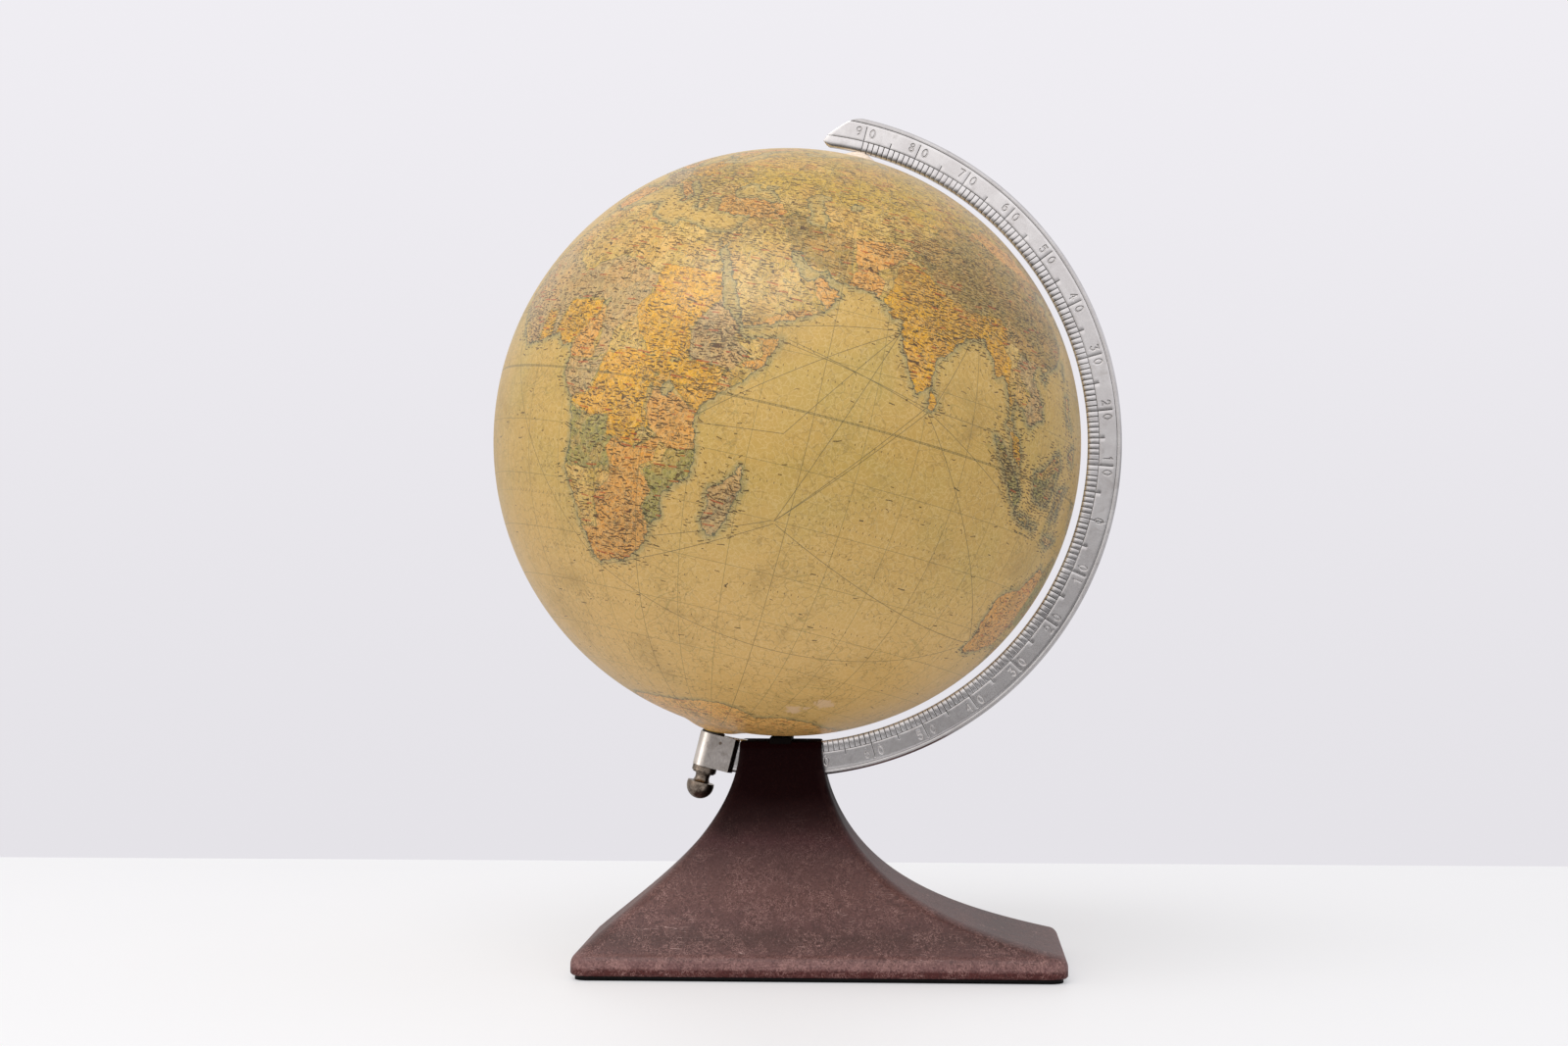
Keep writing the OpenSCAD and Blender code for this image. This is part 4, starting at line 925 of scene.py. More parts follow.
# Places crowded with relief and names: longitude, latitude, reach in degrees, strength
CROWDED = [
    (102, -2, 8, 1), (112, -4, 9, 1.1), (122, -3, 8, 1.2), (120, 10, 7, 0.9), (100, 12, 7, 0.6),
    (84, 30, 8, 1.1), (96, 31, 9, 1.1), (74, 37, 7, 0.9), (78, 22, 10, 0.6), (39, 9, 7, 1),
    (10, 47, 11, 0.9), (22, 42, 8, 0.8), (36, 35, 5, 0.8), (44, 40, 5, 0.9), (48, 33, 5, 0.6),
    (32, 0, 5, 0.7), (26, -8, 8, 0.5), (28, -26, 7, 0.7), (6, 8, 6, 0.9), (-8, 9, 7, 0.8),
    (137, 36, 6, 0.9), (113, 29, 9, 0.6), (47, -19, 4, 0.9), (-75, 42, 9, 0.8), (-100, 22, 8, 0.6),
    (-75, 18, 9, 0.7), (-72, -15, 8, 0.7), (-70, -35, 7, 0.6), (-46, -22, 7, 0.5), (147, -35, 6, 0.6),
    (115, 48, 9, 0.4), (60, 55, 12, 0.3), (146, -6, 7, 0.9), (38, 22, 4, 0.4), (43, 13, 3, 1.2),
    (33, 30, 3, 1.4), (89, 22, 3, 1.4), (104, 1, 4, 1.2),
]

# The print sits askew on the globe: it leans towards one meridian of the pins, and is turned
PRINT_LEAN, PRINT_LEAN_LON, PRINT_TURN = math.radians(4.25), math.radians(-75), math.radians(-143.02)
# The lean fades out between these latitudes
LEAN_FADE = (math.radians(62), math.radians(86))


def print_frame(points):
    """Unit vectors in the frame of the pins to the frame of the printed map"""
    lat = np.abs(np.arcsin(np.clip(points[:, 2], -1, 1)))
    t = np.clip((lat - LEAN_FADE[0]) / (LEAN_FADE[1] - LEAN_FADE[0]), 0, 1)
    lean = PRINT_LEAN * (1 - t * t * (3 - 2 * t))
    pivot = np.array([-math.sin(PRINT_LEAN_LON), math.cos(PRINT_LEAN_LON), 0])
    along = points @ pivot
    cross = np.cross(pivot, points)
    c, s = np.cos(lean)[:, None], np.sin(lean)[:, None]
    leant = points * c + cross * s + pivot * (along * (1 - c[:, 0]))[:, None]
    turn = Matrix.Rotation(PRINT_TURN, 3, "Z")
    return leant @ np.array(turn)


def unit(lon, lat):
    """Unit vectors from degrees of longitude and latitude"""
    lon, lat = np.radians(lon), np.radians(lat)
    return np.stack([np.cos(lat) * np.cos(lon), np.cos(lat) * np.sin(lon), np.sin(lat)], -1)


def inside(lon, lat, outline):
    """Which points lie within an outline"""
    west = min(x for x, _ in outline)
    x = west + (lon - west) % 360
    result = np.zeros(lon.shape, bool)
    for (x1, y1), (x2, y2) in zip(outline, outline[1:] + outline[:1]):
        if y1 == y2:
            continue
        crosses = (y1 > lat) != (y2 > lat)
        result ^= crosses & (x < x1 + (lat - y1) * (x2 - x1) / (y2 - y1))
    return result


# An outline that closes over the south pole has no edge below this latitude
EDGE_SOUTH = -84


def edge_distance(points, outlines, step=0.35):
    """Distance in degrees from each point to the nearest edge"""
    lons, lats = [], []
    for outline in outlines:
        for (x1, y1), (x2, y2) in zip(outline, outline[1:] + outline[:1]):
            if min(y1, y2) < EDGE_SOUTH:
                continue
            n = max(1, math.ceil(math.hypot((x2 - x1) * math.cos(math.radians(y1)), y2 - y1) / step))
            f = np.arange(n) / n
            lons.append(x1 + (x2 - x1) * f)
            lats.append(y1 + (y2 - y1) * f)
    edge = unit(np.concatenate(lons), np.concatenate(lats))
    tree = kdtree.KDTree(len(edge))
    for i, p in enumerate(edge):
        tree.insert(p, i)
    tree.balance()
    return np.degrees(np.array([tree.find(p)[2] for p in points]))


def print_map(globe, points):
    """Stores where each point lies on the map, and how far it is inside land and each tint"""
    places = print_frame(points)
    lon = np.degrees(np.arctan2(places[:, 1], places[:, 0]))
    lat = np.degrees(np.arcsin(np.clip(places[:, 2], -1, 1)))
    land = np.zeros(lon.shape, bool)
    for outline in LAND.values():
        land |= inside(lon, lat, outline)
    for outline in LAKES.values():
        land &= ~inside(lon, lat, outline)
    coast = edge_distance(places, list(LAND.values()) + list(LAKES.values()))
    fields = {"coast": np.where(land, coast, -coast)}
    for tint, outlines in TINTS.items():
        held = np.zeros(lon.shape, bool)
        for outline in outlines:
            held |= inside(lon, lat, outline)
        far = edge_distance(places, outlines, 0.6)
        fields[tint] = np.where(held, far, -far)
    crowd = np.zeros(lon.shape)
    for x, y, spread, strength in CROWDED:
        near = np.degrees(np.arccos(np.clip(places @ unit(x, y), -1, 1)))
        crowd += strength * np.exp(-(near / spread) ** 2)
    fields["crowd"] = crowd
    for name, values in fields.items():
        layer = globe.data.attributes.new(name, "FLOAT", "POINT")
        layer.data.foreach_set("value", values.astype(np.float32))
    layer = globe.data.attributes.new("place", "FLOAT_VECTOR", "POINT")
    layer.data.foreach_set("vector", places.astype(np.float32).ravel())


# Finishes

def moulded_foot():
    """Oxblood moulding composition, with scuffs lower down; painted shade makes it nearly black at the
    neck under the globe, and a painted highlight lies along the knee
    """
    m = Shade("oxblood_moulding")
    p = m.place()
    height = m.split(p)[2]
    cloud = m.noise(p, 24, 5, 0.6, 0.4)
    patch = m.noise(p, 95, 5, 0.7, 0.8)
    wrinkle = m.noise(p, 360, 3, 0.55, 1.9)
    pebble = m.noise(p, 900, 3, 0.65, 0.6)
    wave = (cloud - 0.5) * 0.3 + (patch - 0.5) * 0.16
    wavy = height * (1.0 + wave)
    # The colour at each height in mm, with painted light and shade in it: painted shade that darkens the
    # neck under the globe, and a painted highlight along the top of the knee roll with darker red on the
    # rim below it
    ramp_mm = 125
    tones_with_painted_light = ((0, "#481816"), (5.6, "#481816"), (7.6, "#704f4e"), (10.5, "#6a4a48"), (15.4, "#523432"),
             (22.6, "#452a27"), (29.6, "#543533"), (43.6, "#5c3b37"), (57, "#513331"), (64, "#4b302f"),
             (71, "#442729"), (78, "#31191a"), (85, "#220d0e"), (100, "#140304"))
    worn = m.step(wavy, 0.1, 0.03)
    shade = m.step(wrinkle, 0.5, 0.38) * (0.12 + worn * 0.3)
    crease = m.line(wrinkle - 0.53, 0.02, 0.6) * m.step(patch, 0.42, 0.6)
    # Painted highlight along the top of the knee roll, broken up into light scuffs
    band = m.step(height, 0.0058, 0.0075) * m.step(height, 0.0145, 0.009)
    scuffs_and_knee_highlight = band * m.step(patch * 0.5 + pebble * 0.5, 0.44, 0.6) * 0.36
    edge = m.attribute("edge")
    rubbed = m.step(edge, 0.45, 1) * m.step(patch, 0.35, 0.65) * m.step(height, 0.125, 0.07)
    scratch = 0.0
    for k, turn in enumerate((0.5, -0.9, 2.1)):
        bent = m.get("Mapping", {"Vector": p, "Rotation": (0.3 * k, turn, 0.2 + turn),
                                 "Scale": (14, 14, 330)})
        hair = m.line(m.noise(bent, 1.0, 2, 0.6, 1.2) - 0.5, 0.004)
        gate = m.step(m.noise(p, 60 + 23 * k, 2, 0.5), 0.62, 0.68)
        scratch = m.most(scratch, hair * gate)
    hue = m.over(m.ramp(wavy * (1000 / ramp_mm), [(z / ramp_mm, tone) for z, tone in tones_with_painted_light]),
                 (shade, "#2c1413"), (crease * (worn * 0.6), "#ac8680"),
                 (m.step(pebble, 0.56, 0.7) * (worn * 0.32), "#a27a74"),
                 (m.step(pebble, 0.45, 0.33) * 0.35, "#220d0d"), (scuffs_and_knee_highlight, "#a67f78"),
                 (rubbed * 0.25, "#9a716c"), (scratch * (worn * 0.5), "#c3a39d"))
    rough = 0.36 + 0.2 * patch + (scuffs_and_knee_highlight * 0.2 + m.step(height, 0.121, 0.1245))
    grain = m.bump(wrinkle + pebble * 0.5, 0.0005, 0.4)
    m.put(m.skin.inputs["Specular IOR Level"], 0.03 + m.step(height, 0.1, 0.045) * 0.28)
    return m.finish(hue, rough, grain)


def metal(name, base, dark, light, rough, tarnish=0.5, scale=1.0, engraved=False):
    """A satin metal with fine scratches, clouds of tarnish and small pits"""
    m = Shade(name)
    p = m.place()
    cloud = m.noise(p, 55 * scale, 5, 0.65, 0.3)
    brush = m.noise(m.scaled(p, (1.0, 1.0, 0.25)), 1600 * scale, 3, 0.6)
    pits = m.step(m.noise(p, 700 * scale, 3, 0.75), 0.66, 0.75)
    dull = m.step(m.noise(p, 120 * scale, 5, 0.7, 0.6), 0.5, 0.72)
    hue = m.over(base, (m.step(cloud, 0.35, 0.7), light), (dull * tarnish, dark), (pits * tarnish, dark))
    gloss = rough + (brush - 0.5) * (0.08 if engraved else 0.25)
    if engraved:
        lines, digits = m.attribute("cut"), m.attribute("digit")
        wear = m.step(m.noise(p, 28, 2, 0.5), 0.4, 0.62)
        rim = m.line(digits - 0.42, 0.3, 0.5) * (0.4 + wear * 0.5)
        dirt = m.most(m.step(lines, 0.5, 0.85) * (0.72 + wear * 0.28), rim)
        hue = m.over(hue, (dirt, "#1d1a19"), (m.step(digits, 0.75, 1) * 0.5, "#efe9e6"))
        gloss = gloss + m.most(lines, digits) * 0.2
    normal = m.bump(brush, 0.00003, 0.12 if engraved else 0.4, m.bump(cloud, 0.0002, 0.15))
    return m.finish(hue, gloss, normal, Metallic=1.0)


def wood():
    m = Shade("turned_wood")
    p = m.place()
    rings = m.noise(m.scaled(p, (1, 1, 0.08)), 210, 4, 0.6, 1.4)
    fibre = m.noise(m.scaled(p, (1, 1, 0.04)), 1500, 3, 0.6)
    hue = m.over("#a87a4c", (m.step(rings, 0.35, 0.65), "#c99c6a"),
                 (m.step(fibre, 0.5, 0.7) * 0.5, "#8a5f38"))
    return m.finish(hue, 0.5 + fibre * 0.2, m.bump(fibre, 0.0002, 0.5))


def pasteboard():
    m = Shade("grey_pasteboard")
    p = m.place()
    pulp = m.noise(p, 90, 6, 0.7)
    fibre = m.noise(m.scaled(p, (1, 0.3, 1)), 800, 4, 0.7, 0.8)
    hue = m.over("#978a70", (m.step(pulp, 0.3, 0.7), "#b4a78a"),
                 (m.step(fibre, 0.52, 0.7) * 0.5, "#6f6552"))
    return m.finish(hue, 0.85, m.bump(fibre, 0.0003, 0.6))


def felt(name, dark, light, sheen=0.0):
    m = Shade(name)
    p = m.place()
    fibre = m.noise(p, 1900, 4, 0.8, 1.5)
    tuft = m.noise(p, 260, 4, 0.7)
    hue = m.mix(m.step(fibre * 0.6 + tuft * 0.4, 0.35, 0.65), dark, light)
    return m.finish(hue, 0.95, m.bump(fibre, 0.0004, 0.9), Sheen_Weight=sheen, Specular_IOR_Level=0.1)


def enamel(name, dark, light, rough, wear, gloss=0.5):
    """Black paint or lacquer that has worn at its high spots"""
    m = Shade(name)
    p = m.place()
    orange_peel = m.noise(p, 700, 3, 0.5)
    chips = m.step(m.noise(p, 420, 5, 0.75), 0.62, 0.7)
    hue = m.over(dark, (m.noise(p, 80, 4, 0.6), light), (chips * 0.45, wear))
    grain = m.bump(orange_peel, 0.0001, 0.4)
    return m.finish(hue, rough + chips * 0.25, grain, Specular_IOR_Level=gloss)


def washer_fibre(name, dark, light):
    m = Shade(name)
    p = m.place()
    layer = m.noise(m.scaled(p, (1, 1, 3)), 400, 4, 0.7)
    hue = m.mix(m.step(layer, 0.35, 0.65), dark, light)
    return m.finish(hue, 0.45 + layer * 0.25, m.bump(layer, 0.0001, 0.5))


# Printed map

# Millimetres on the paper for a radian of latitude
MM_PER_RAD = GLOBE_R
# Ends of the sailing routes
ROUTES = [
    ((72.8, 18.9), (45, 12.5)), ((79.7, 6.2), (45.5, 12.3)), ((79.7, 6.2), (95, 5.8)),
    ((88, 21), (80.8, 5.6)), ((72.8, 18.9), (57.5, -20)), ((79.7, 6.2), (57.5, -20)),
    ((80, 5.8), (115, -32)), ((80.2, 5.8), (105.5, -6.3)), ((18, -34.5), (113, -34.5)),
    ((20, -35.5), (57.5, -20.5)), ((39.7, -4.5), (72.6, 18.5)), ((39.6, -6), (55.5, -4.6)),
    ((52.5, 12), (80, 5.5)), ((55.5, -4.6), (72.8, 18.6)), ((32.5, -28), (57, -20)),
    ((57.5, -20), (80.3, 5.6)), ((57.8, -20.5), (114.5, -33)), ((-34, -8), (-18, 15)),
    ((-70, 41), (-6, 49)), ((18, -34), (-17, 14)), ((-122.5, 37), (140, 35)),
    ((-43, -23), (-10, 38)), ((151, -34), (-79.5, 8)),
]


def word_rows(m, lat_mm, lon, row, width, tall, dense, seed, glyph=2.6):
    """Rows of small print along the parallels: marks like words, with no letter in them

    The pitch of the rows and of the words and their height are in mm; dense is the share of places
    that hold a word, and glyph is how fine its strokes are.
    """
    turned = lat_mm * (1 / row) + seed
    index = m.floor(turned)
    within = m.fract(turned)
    shrink = m.math("COSINE", (index - seed) * (row / MM_PER_RAD))
    along = lon * shrink * MM_PER_RAD
    slide = m.chance(index, 5.5 + seed) * width
    cell = (along + slide) * (1 / width)
    number = m.floor(cell)
    across = m.fract(cell)
    held = m.math("LESS_THAN", m.chance(number, index, 0), dense)
    length = 0.28 + m.chance(number, index, 1) * 0.6
    tilt = (m.chance(index, number, 1) - 0.5) * ((across - 0.5) * 0.7)
    rise = within - 0.5 - (m.chance(number, index, 2) - 0.5) * 0.4 + tilt
    span = m.step(across, 0.03, 0.06) * m.step(across - length, 0.03, 0.0)
    band = m.line(rise, tall / row / 2, 0.4)
    pattern = m.noise(m.vector(along * glyph, rise * (2.2 * row), index * 3.7), 1.0, 1.5, 0.6)
    ink = 0.25 + m.step(pattern, 0.3, 0.44) * 0.75
    return held * span * (band * ink)


def spaced_letters(m, lat_mm, lon, row, pitch, seed):
    """Sparse upright bars along a parallel, where the names of seas would stand"""
    turned = lat_mm * (1 / row) + seed
    index = m.floor(turned)
    rise = (m.fract(turned) - 0.5) * row
    shrink = m.math("COSINE", (index - (seed - 0.5)) * (row / MM_PER_RAD))
    along = lon * shrink * MM_PER_RAD * (1 / pitch)
    number = m.floor(along)
    group = m.floor(number * (1 / 9))
    held = m.math("LESS_THAN", m.chance(group, index, 0), 0.33)
    side = (m.fract(along) - 0.5) * pitch
    box = m.line(rise, 0.55, 0.2)
    return held * box * m.line(side, 0.17, 0.4)


def route_lines(m, place):
    """Thin lines along the sailing routes"""
    lines = 0.0
    for start, end in ROUTES:
        a, b = unit(*start), unit(*end)
        middle = (a + b) / np.linalg.norm(a + b)
        pole = np.cross(a, b)
        # Bow each route a little off the great circle, by turning its pole towards the middle
        pole = pole / np.linalg.norm(pole) + 0.05 * math.copysign(1, start[1] - end[1] + 0.1) * middle
        off = float(pole @ a)
        near = m.line(m.dot(place, tuple(pole)) - off, 0.16 / MM_PER_RAD, 0.5)
        kept = m.step(m.dot(place, tuple(middle)), float(middle @ a) - 0.0004, float(middle @ a) + 0.0004)
        lines = m.most(lines, near * kept)
    return lines


def printed_map():
    """The varnished paper: seas, tinted lands, grid, routes and small print, aged"""
    m = Shade("varnished_map")
    vector = m.attribute("place", "Vector")
    place = m.get("VectorMath", {0: vector}, operation="NORMALIZE")
    px, py, pz = m.split(place)
    lat = m.math("ARCSINE", pz)
    lon = m.math("ARCTAN2", py, px)
    lat_mm = lat * MM_PER_RAD
    cos_lat = m.math("COSINE", lat)
    mm = m.scaled(place, (GLOBE_R,) * 3)

    crinkle = m.noise(mm, 0.24, 6, 0.68) - 0.5
    wander = m.noise(mm, 0.12, 5, 0.6, 0.4) - 0.5
    coast = m.attribute("coast") + crinkle * 2.6
    land = m.step(coast, -0.05, 0.07)
    crowd = m.attribute("crowd") + wander * 0.8
    soft = m.noise(mm, 0.045, 4, 0.6)
    speck = m.noise(mm, 2.2, 4, 0.75)
    fine = m.noise(mm, 6.5, 3, 0.7)

    # Paper: ochre seas, and land in five tints with their borders
    sea = m.over("#bd994f", (m.step(soft, 0.3, 0.72), "#c29e54"),
                 (m.step(m.noise(mm, 0.02, 3, 0.6), 0.45, 0.7) * 0.6, "#b39a50"),
                 (m.step(lat, -0.1, -0.85) * 0.9, "#d2aa66"))
    ground = m.over("#d3ad60", (m.step(m.noise(mm, 0.09, 4, 0.6), 0.35, 0.65), "#bb9844"),
                    (m.step(lat, 0.72, 0.86) * 0.8, "#b8942a"))
    mottle = m.step(m.noise(mm, 0.3, 4, 0.65), 0.38, 0.62)
    borders = 0.0
    for tint, pale, deep in (("russet", "#a8873e", "#917639"), ("green", "#9c9146", "#8c834c"),
                             ("lavender", "#c2a066", "#aa8e64"), ("yellow", "#e2a618", "#cc8f10"),
                             ("orange", "#d8923a", "#d39c50")):
        field = m.attribute(tint) + wander * 2.2
        ground = m.mix(m.step(field, -0.06, 0.06) * 0.92, ground, m.mix(mottle, pale, deep))
        borders = m.most(borders, m.line(field, 0.1, 0.6))
    patch = m.step(m.noise(mm, 0.06, 4, 0.6), 0.5, 0.54)
    far_south = m.step(lat + wander * 0.3, -1.0, -1.15)
    ground = m.over(ground, (patch * 0.3, "#d59a50"), (far_south * 0.8, "#f0b868"))

    # What is printed along the coasts, on high ground, borders, rivers and railways
    water = 1.0 - land
    river = m.line(m.noise(mm, 0.085, 5, 0.6, 0.6) - 0.5, 0.008, 0.5) * land
    branches = m.line(m.noise(mm, 0.21, 4, 0.6, 1.2) - 0.5, 0.011, 0.5) * land
    rail = m.line(m.noise(mm, 0.13, 4, 0.55, 0.8) - 0.47, 0.006, 0.5) * land
    relief = m.step(speck, 0.5, 0.58) * m.step(crowd, 0.25, 1.0) * m.step(coast, -1.6, 0.4)
    colour = m.over(m.mix(land, sea, ground), (m.step(coast, -1.5, -0.1) * water * 0.5, "#7c8260"),
                    (m.line(coast, 0.12, 0.6) * 0.85, "#3d4c40"), (relief * 0.62, "#4b4733"),
                    (borders * land * 0.6, "#5d6b3c"), (m.most(river, branches) * 0.72, "#3c4a3e"),
                    (rail * 0.6, "#6e3319"))

    # Old varnish: dark and light webs of fine cracks, and cloudy swirls
    swirl = m.noise(mm, 0.7, 4, 0.65, 2.5)
    pulled = m.moved(mm, m.scaled(m.noise(mm, 0.11, 3, 0.6, part="Color"), (9.0,) * 3))
    web = m.step(m.cells(pulled, 0.17, "DISTANCE_TO_EDGE"), 0.05, 0.012)
    web = web * m.step(m.noise(mm, 0.05, 3, 0.5), 0.36, 0.52)
    web_light = m.step(m.cells(pulled, 0.31, "DISTANCE_TO_EDGE"), 0.08, 0.03)
    colour = m.over(colour, (web * 0.34, "#6f5c34"), (web_light * 0.2, "#e8cf98"),
                    (m.step(swirl, 0.52, 0.66) * 0.16, "#e0c084"),
                    (m.step(swirl, 0.46, 0.36) * 0.16, "#7d6636"))

    # Lines of the grid, the equator with its ticks, and the tropics
    def every(angle, degrees_apart, half, shrink=1.0, soft_edge=0.5):
        """Lines at even steps of an angle, half their width in mm; shrink draws meridians together"""
        turns = angle * (180 / math.pi / degrees_apart)
        off = m.fract(turns + 0.5) - 0.5
        return m.line(off * (shrink * (math.radians(degrees_apart) * MM_PER_RAD)), half, soft_edge)

    meridians = every(lon, 10, 0.14, cos_lat) * m.step(cos_lat, 0.17, 0.18)
    rails = m.most(m.line(lat_mm - 0.42, 0.11, 0.5), m.line(lat_mm + 0.42, 0.11, 0.5))
    ticks = every(lon, 1, 0.16) * m.line(lat_mm, 0.42, 0.1)
    dash = m.step(m.math("SINE", lon * 260), -0.2, 0.2)
    tropic = m.line(m.math("ABSOLUTE", lat_mm) - math.radians(23.45) * MM_PER_RAD, 0.12, 0.5)
    colour = m.over(colour, (m.most(meridians, every(lat, 10, 0.14)) * 0.55, "#5a5c3a"),
                    (m.most(rails, ticks) * 0.8, "#454630"), (tropic * dash * 0.6, "#5c5238"))

    # Streams drawn as faint bundles of lines in the seas, and the sailing routes
    flow = m.noise(mm, 0.016, 2, 0.5, 0.8)
    bundle = m.line(m.fract(flow * 46) - 0.5, 0.06, 0.7) * m.step(m.noise(mm, 0.03, 2, 0.5), 0.5, 0.56)
    colour = m.over(colour, (bundle * water * 0.3, "#76743f"),
                    (route_lines(m, place) * water * 0.75, "#4a4a38"))

    # Small print: dense on land, in combs off the coasts, thin in the open sea
    at_sea = m.step(coast, -3.6, -0.6) * water * (0.26 + crowd * 0.6)
    names = land * (0.36 + crowd * 0.5) + at_sea + 0.008 + wander * 0.5 * land
    names = names * (0.25 + m.step(lat, -1.15, -1.0) * 0.75)
    bent = lat_mm + (m.noise(mm, 0.05, 2, 0.5) - 0.5) * 9.0
    crossed = lat_mm + (m.noise(mm, 0.06, 2, 0.5, 1.0) - 0.5) * -11.0
    print_a = word_rows(m, bent, lon, 1.6, 5.2, 0.56, names, 0.0, 1.6)
    print_b = word_rows(m, crossed, lon, 2.6, 9.4, 0.6, names * land * 0.55, 0.31, 1.2)
    print_c = word_rows(m, crossed, lon, 1.3, 3.9, 0.46, names * 0.5, 0.67, 1.9)
    ink = m.mix(m.chance(m.floor(lon * 26), m.floor(lat * 80), 1), "#201e13", "#482814")
    red_names = word_rows(m, lat_mm, lon, 3.3, 8.6, 0.75, land * 0.16, 0.11, 2.3)
    letters = m.most(spaced_letters(m, lat_mm, lon, 14.2, 3.6, 0.2),
                     spaced_letters(m, lat_mm, lon, 23.7, 6.4, 0.62))
    towns = m.step(m.cells(mm, 0.33), 0.1, 0.07) * land
    colour = m.over(colour, (m.most(print_a, m.most(print_b, print_c)) * 0.9, ink),
                    (red_names * 0.7, "#a8401c"), (letters * 0.8, "#33291c"), (towns * 0.7, "#2e2a20"))

    # Age: stains, foxing, dust, peeled spots, and the joins of the gores and the polar sheets
    stain = m.noise(mm, 0.03, 6, 0.65, 0.5)
    foxing = m.step(m.noise(mm, 0.8, 5, 0.75), 0.62, 0.72)
    peeled = 0.0
    ragged = (m.noise(mm, 0.3, 4, 0.6, 0.5) - 0.5) * 0.075
    for spot, size in (((84.9, -62.2), 0.027), ((92.2, -57.6), 0.033), ((88.6, -60.6), 0.012),
                       ((-140, 20), 0.02), ((-60, -50), 0.015), ((160, 30), 0.013)):
        far = m.math("ARCCOSINE", m.least(m.dot(place, tuple(unit(*spot))), 1.0))
        peeled = m.most(peeled, m.step(far + ragged, size, size - 0.004))
    seam = every(lon, 30, 0.16, cos_lat, 0.6) * m.step(cos_lat, 0.165, 0.175)
    joins = m.most(seam, m.line(cos_lat - 0.17, 0.001, 0.5))
    colour = m.over(colour, (m.step(stain, 0.5, 0.75) * 0.35, "#8f7440"), (foxing * 0.3, "#7a5a2e"),
                    (m.step(fine, 0.5, 0.75) * 0.16, "#cdb98c"), (peeled * 0.9, "#cfae85"),
                    (joins * 0.3, "#6b5836"))

    rough = 0.3 + fine * 0.12 + (peeled * 0.4 + m.step(stain, 0.4, 0.8) * 0.1)
    height = m.noise(mm, 0.5, 4, 0.6) * 0.5 + fine * 0.06 - m.most(peeled, joins) * 0.5
    normal = m.bump(height, 0.0002, 0.35, m.bump(soft, 0.0012, 0.25))
    return m.finish(colour, rough, normal, Specular_IOR_Level=0.3, Coat_Weight=0.3, Coat_Roughness=0.27)


# Studio: pale table, pale backdrop and soft light

# Light that the table gives off by itself, and its height just under the felt, in metres
TABLE_GLOW, TABLE_Z = 0.37, -0.0002


def make_floor():
    """A matt table that glows a little for all but mirror images"""
    far, wide, near = 0.52, 3.0, -0.95
    verts = [(-wide, near, TABLE_Z), (wide, near, TABLE_Z), (wide, far, TABLE_Z), (-wide, far, TABLE_Z)]
    table = add_mesh("table", verts, [(0, 1, 2, 3)])
    m = Shade("white_table")
    cloud = m.noise(m.place(), 3, 3, 0.5)
    m.finish(m.mix(cloud, (0.44, 0.44, 0.45, 1), (0.46, 0.46, 0.47, 1)), 0.5, Specular_IOR_Level=0.2)
    matt = 1.0 - m.get("LightPath", output="Is Glossy Ray")
    glow = m.get("Emission", {"Color": (1, 1, 1.02, 1), "Strength": matt * TABLE_GLOW})
    m.put(m.out.inputs["Surface"], m.get("AddShader", {0: m.skin.outputs[0], 1: glow}))
    dress(table, m.material)


def make_world():
    """A pale wall for the camera; soft light, dimmer low down, and darker there in mirror images"""
    m = World("studio")
    bpy.context.scene.world = m.material
    x, y, z = m.split(m.get("TexCoord", output="Generated"))
    glossy = m.get("LightPath", output="Is Glossy Ray")
    seen = m.get("LightPath", output="Is Camera Ray")
    soft = 0.35 + m.step(z, -0.5, 0.3) * 0.95
    mirrored = 0.04 + m.step(z, -0.14, 0.2) * 1.5
    front = soft + glossy * (mirrored - soft)
    behind = 0.72 + m.step(z, -0.1, 0.5) * 0.35
    light = m.mix(m.step(y, -0.35, 0.25), m.vector(front, front, front), m.vector(behind, behind, behind))
    tint = m.mix(m.step(x, -0.8, 0.8), (0.98, 0.95, 0.92, 1), (0.76, 0.76, 0.79, 1))
    light = m.mix(1.0, light, tint, "MULTIPLY")
    strip = m.line(y + 0.42, 0.22, 0.4) * m.step(x, -0.6, -0.8) * m.step(z, -0.16, 0.0)
    strength = 0.86 + strip * (glossy * 0.6)
    glow = m.get("Background", {"Color": light, "Strength": strength})
    tone = m.mix(m.step(z, -0.12, 0.3), "#e5e3e8", "#f1eff4")
    wall = m.get("Background", {"Color": tone, "Strength": 1.0})
    m.put(m.out.inputs["Surface"], m.get("MixShader", {0: seen, 1: glow, 2: wall}))


def make_lamp(name, place, size, watts):
    lamp = add_object(name, bpy.data.lights.new(name, "AREA"))
    lamp.data.shape = "ELLIPSE"
    lamp.data.size, lamp.data.size_y = size
    lamp.data.energy = watts
    lamp.location = place
    aim = CENTRE * MM - Vector(place)
    lamp.rotation_euler = aim.to_track_quat("-Z", "Y").to_euler()


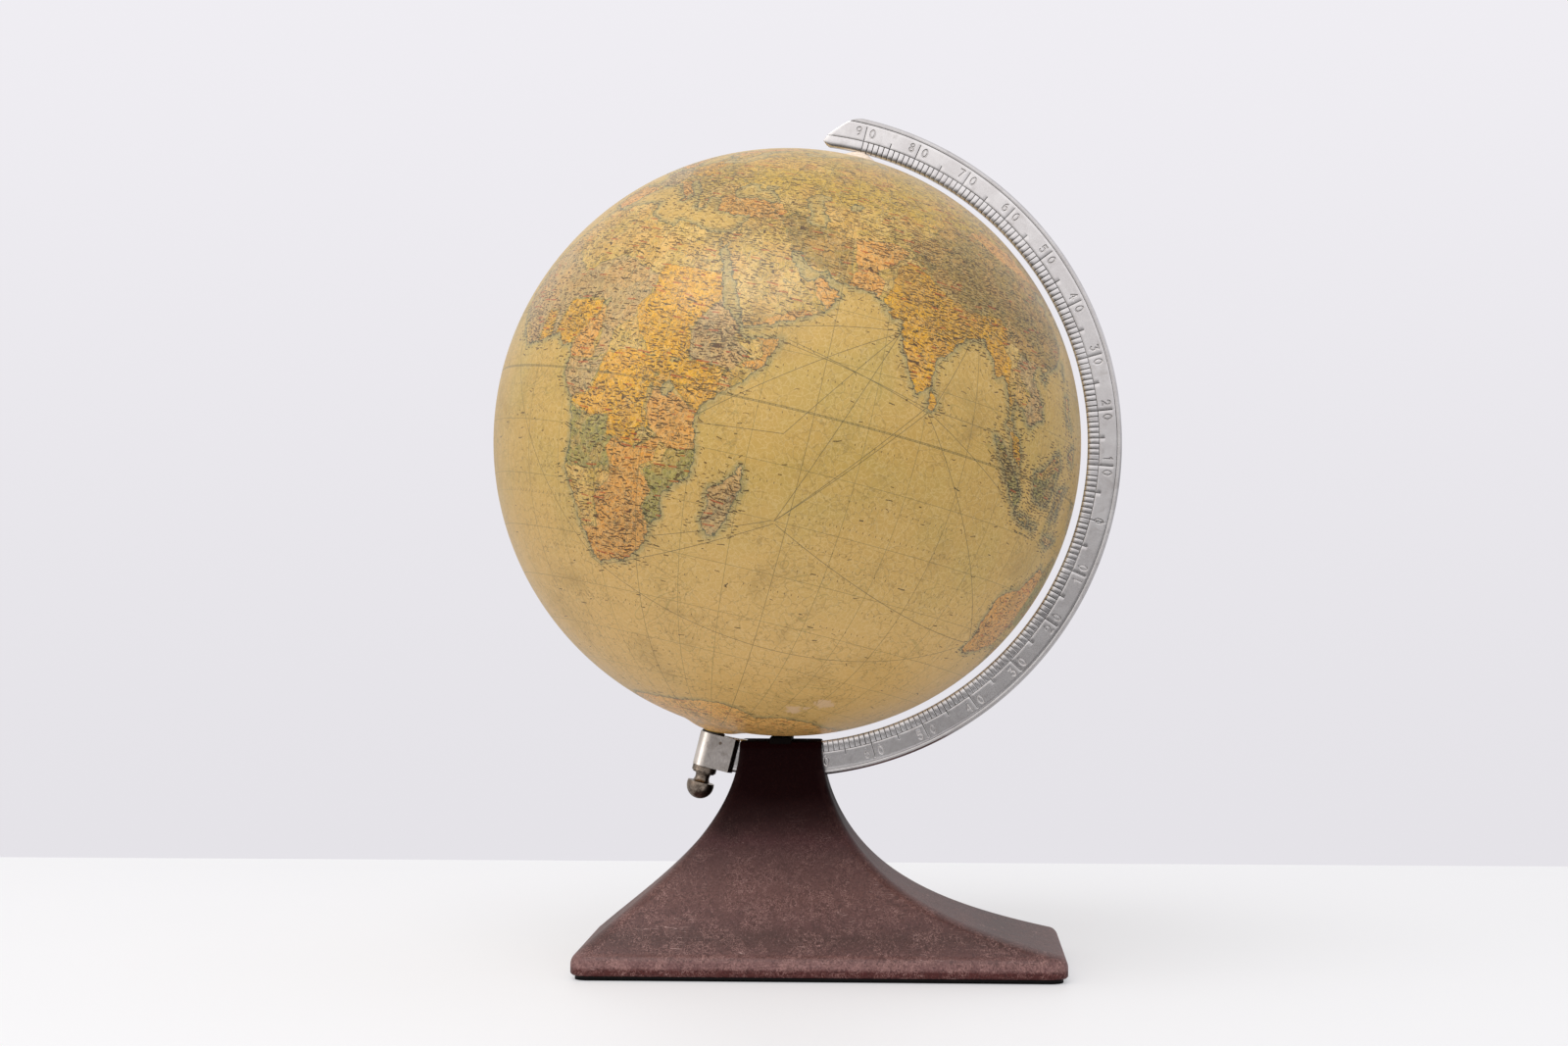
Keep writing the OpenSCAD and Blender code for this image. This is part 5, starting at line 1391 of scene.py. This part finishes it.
make_camera()
dress(make_foot(), moulded_foot())
globe, globe_points = make_globe()
print_map(globe, globe_points)
dress(globe, printed_map())
NICKEL = metal("satin_nickel", "#dcd8d8", "#a69d98", "#e9e6e6", 0.2, 0.3, engraved=True)
CLASP = metal("worn_nickel", "#d0c7c0", "#84766d", "#e4dcd7", 0.2, 0.45, 1.3)
BRONZE = metal("aged_bronze", "#73675d", "#372c26", "#b0a295", 0.29, 1.0, 2.6)
BRASS = metal("dull_brass", "#b08a48", "#6f5428", "#c9a561", 0.36, 0.6)
STEEL = metal("screw_steel", "#9a978f", "#5f5a52", "#b4b1aa", 0.35, 0.5)
IRON = metal("cast_iron", "#4c4b4c", "#2f2c2b", "#5f5e5e", 0.62, 0.7)
SPRING = metal("spring_steel", "#868a90", "#4f5560", "#9aa0a6", 0.3, 0.4)
dress(make_ring(), NICKEL)
dress(make_pole_screw(), BRONZE)
dress(make_north_washer(), washer_fibre("pale_washer", "#d5bfa9", "#efe0cf"))
LACQUER = enamel("black_lacquer", "#070404", "#0e0908", 0.75, "#2a1f1c", 0.06)
FINISHES = {
    # The felt and the plate under the foot are near black: their own dark colour, and painted shade in
    # the recess under the foot's rim
    "felt_sheet": felt("black_felt_painted_shade", "#060606", "#151414"),
    "bottom_plate": enamel("black_sheet", "#0b0a0a", "#171616", 0.45, "#3a3634", 0.12),
    "plate_screws": STEEL,
    "cast_weight": IRON,
    "weight_screws": STEEL,
    "guide_channel": BRASS,
    "channel_screws": STEEL,
    "brake_spring": SPRING,
    "brake_pad": felt("brown_felt", "#2d231b", "#4c3e32", 0.3),
    "spring_rivet": STEEL,
    "slot_keeper": LACQUER,
    "keeper_screws": LACQUER,
    "clasp_block": CLASP,
    "clasp_pin": BRONZE,
    "north_pivot": STEEL,
    "south_washer": washer_fibre("dark_washer", "#1c1918", "#3b3430"),
    "lock_nut": BRONZE,
    "north_shell": pasteboard(),
    "south_shell": pasteboard(),
    "equator_hoop": pasteboard(),
    "axle_post": wood(),
    "north_block": wood(),
    "south_block": wood(),
    "north_bush": BRASS,
    "south_bush": BRASS,
}
for name, finish in FINISHES.items():
    dress(nodes[name], finish)
for name, width in (("clasp_block", 0.5), ("lock_nut", 0.35), ("slot_keeper", 0.25),
                    ("south_washer", 0.2), ("clasp_pin", 0.3)):
    soft = nodes[name].modifiers.new("soft edges", "BEVEL")
    soft.width = width * MM
    soft.segments = 3
    soft.limit_method = "ANGLE"
    soft.angle_limit = math.radians(40)
make_floor()
make_world()
make_lamp("key", (-0.5, -1.1, 2.2), (2.3, 1.3), 27.5)
bpy.context.scene.view_settings.view_transform = "Standard"
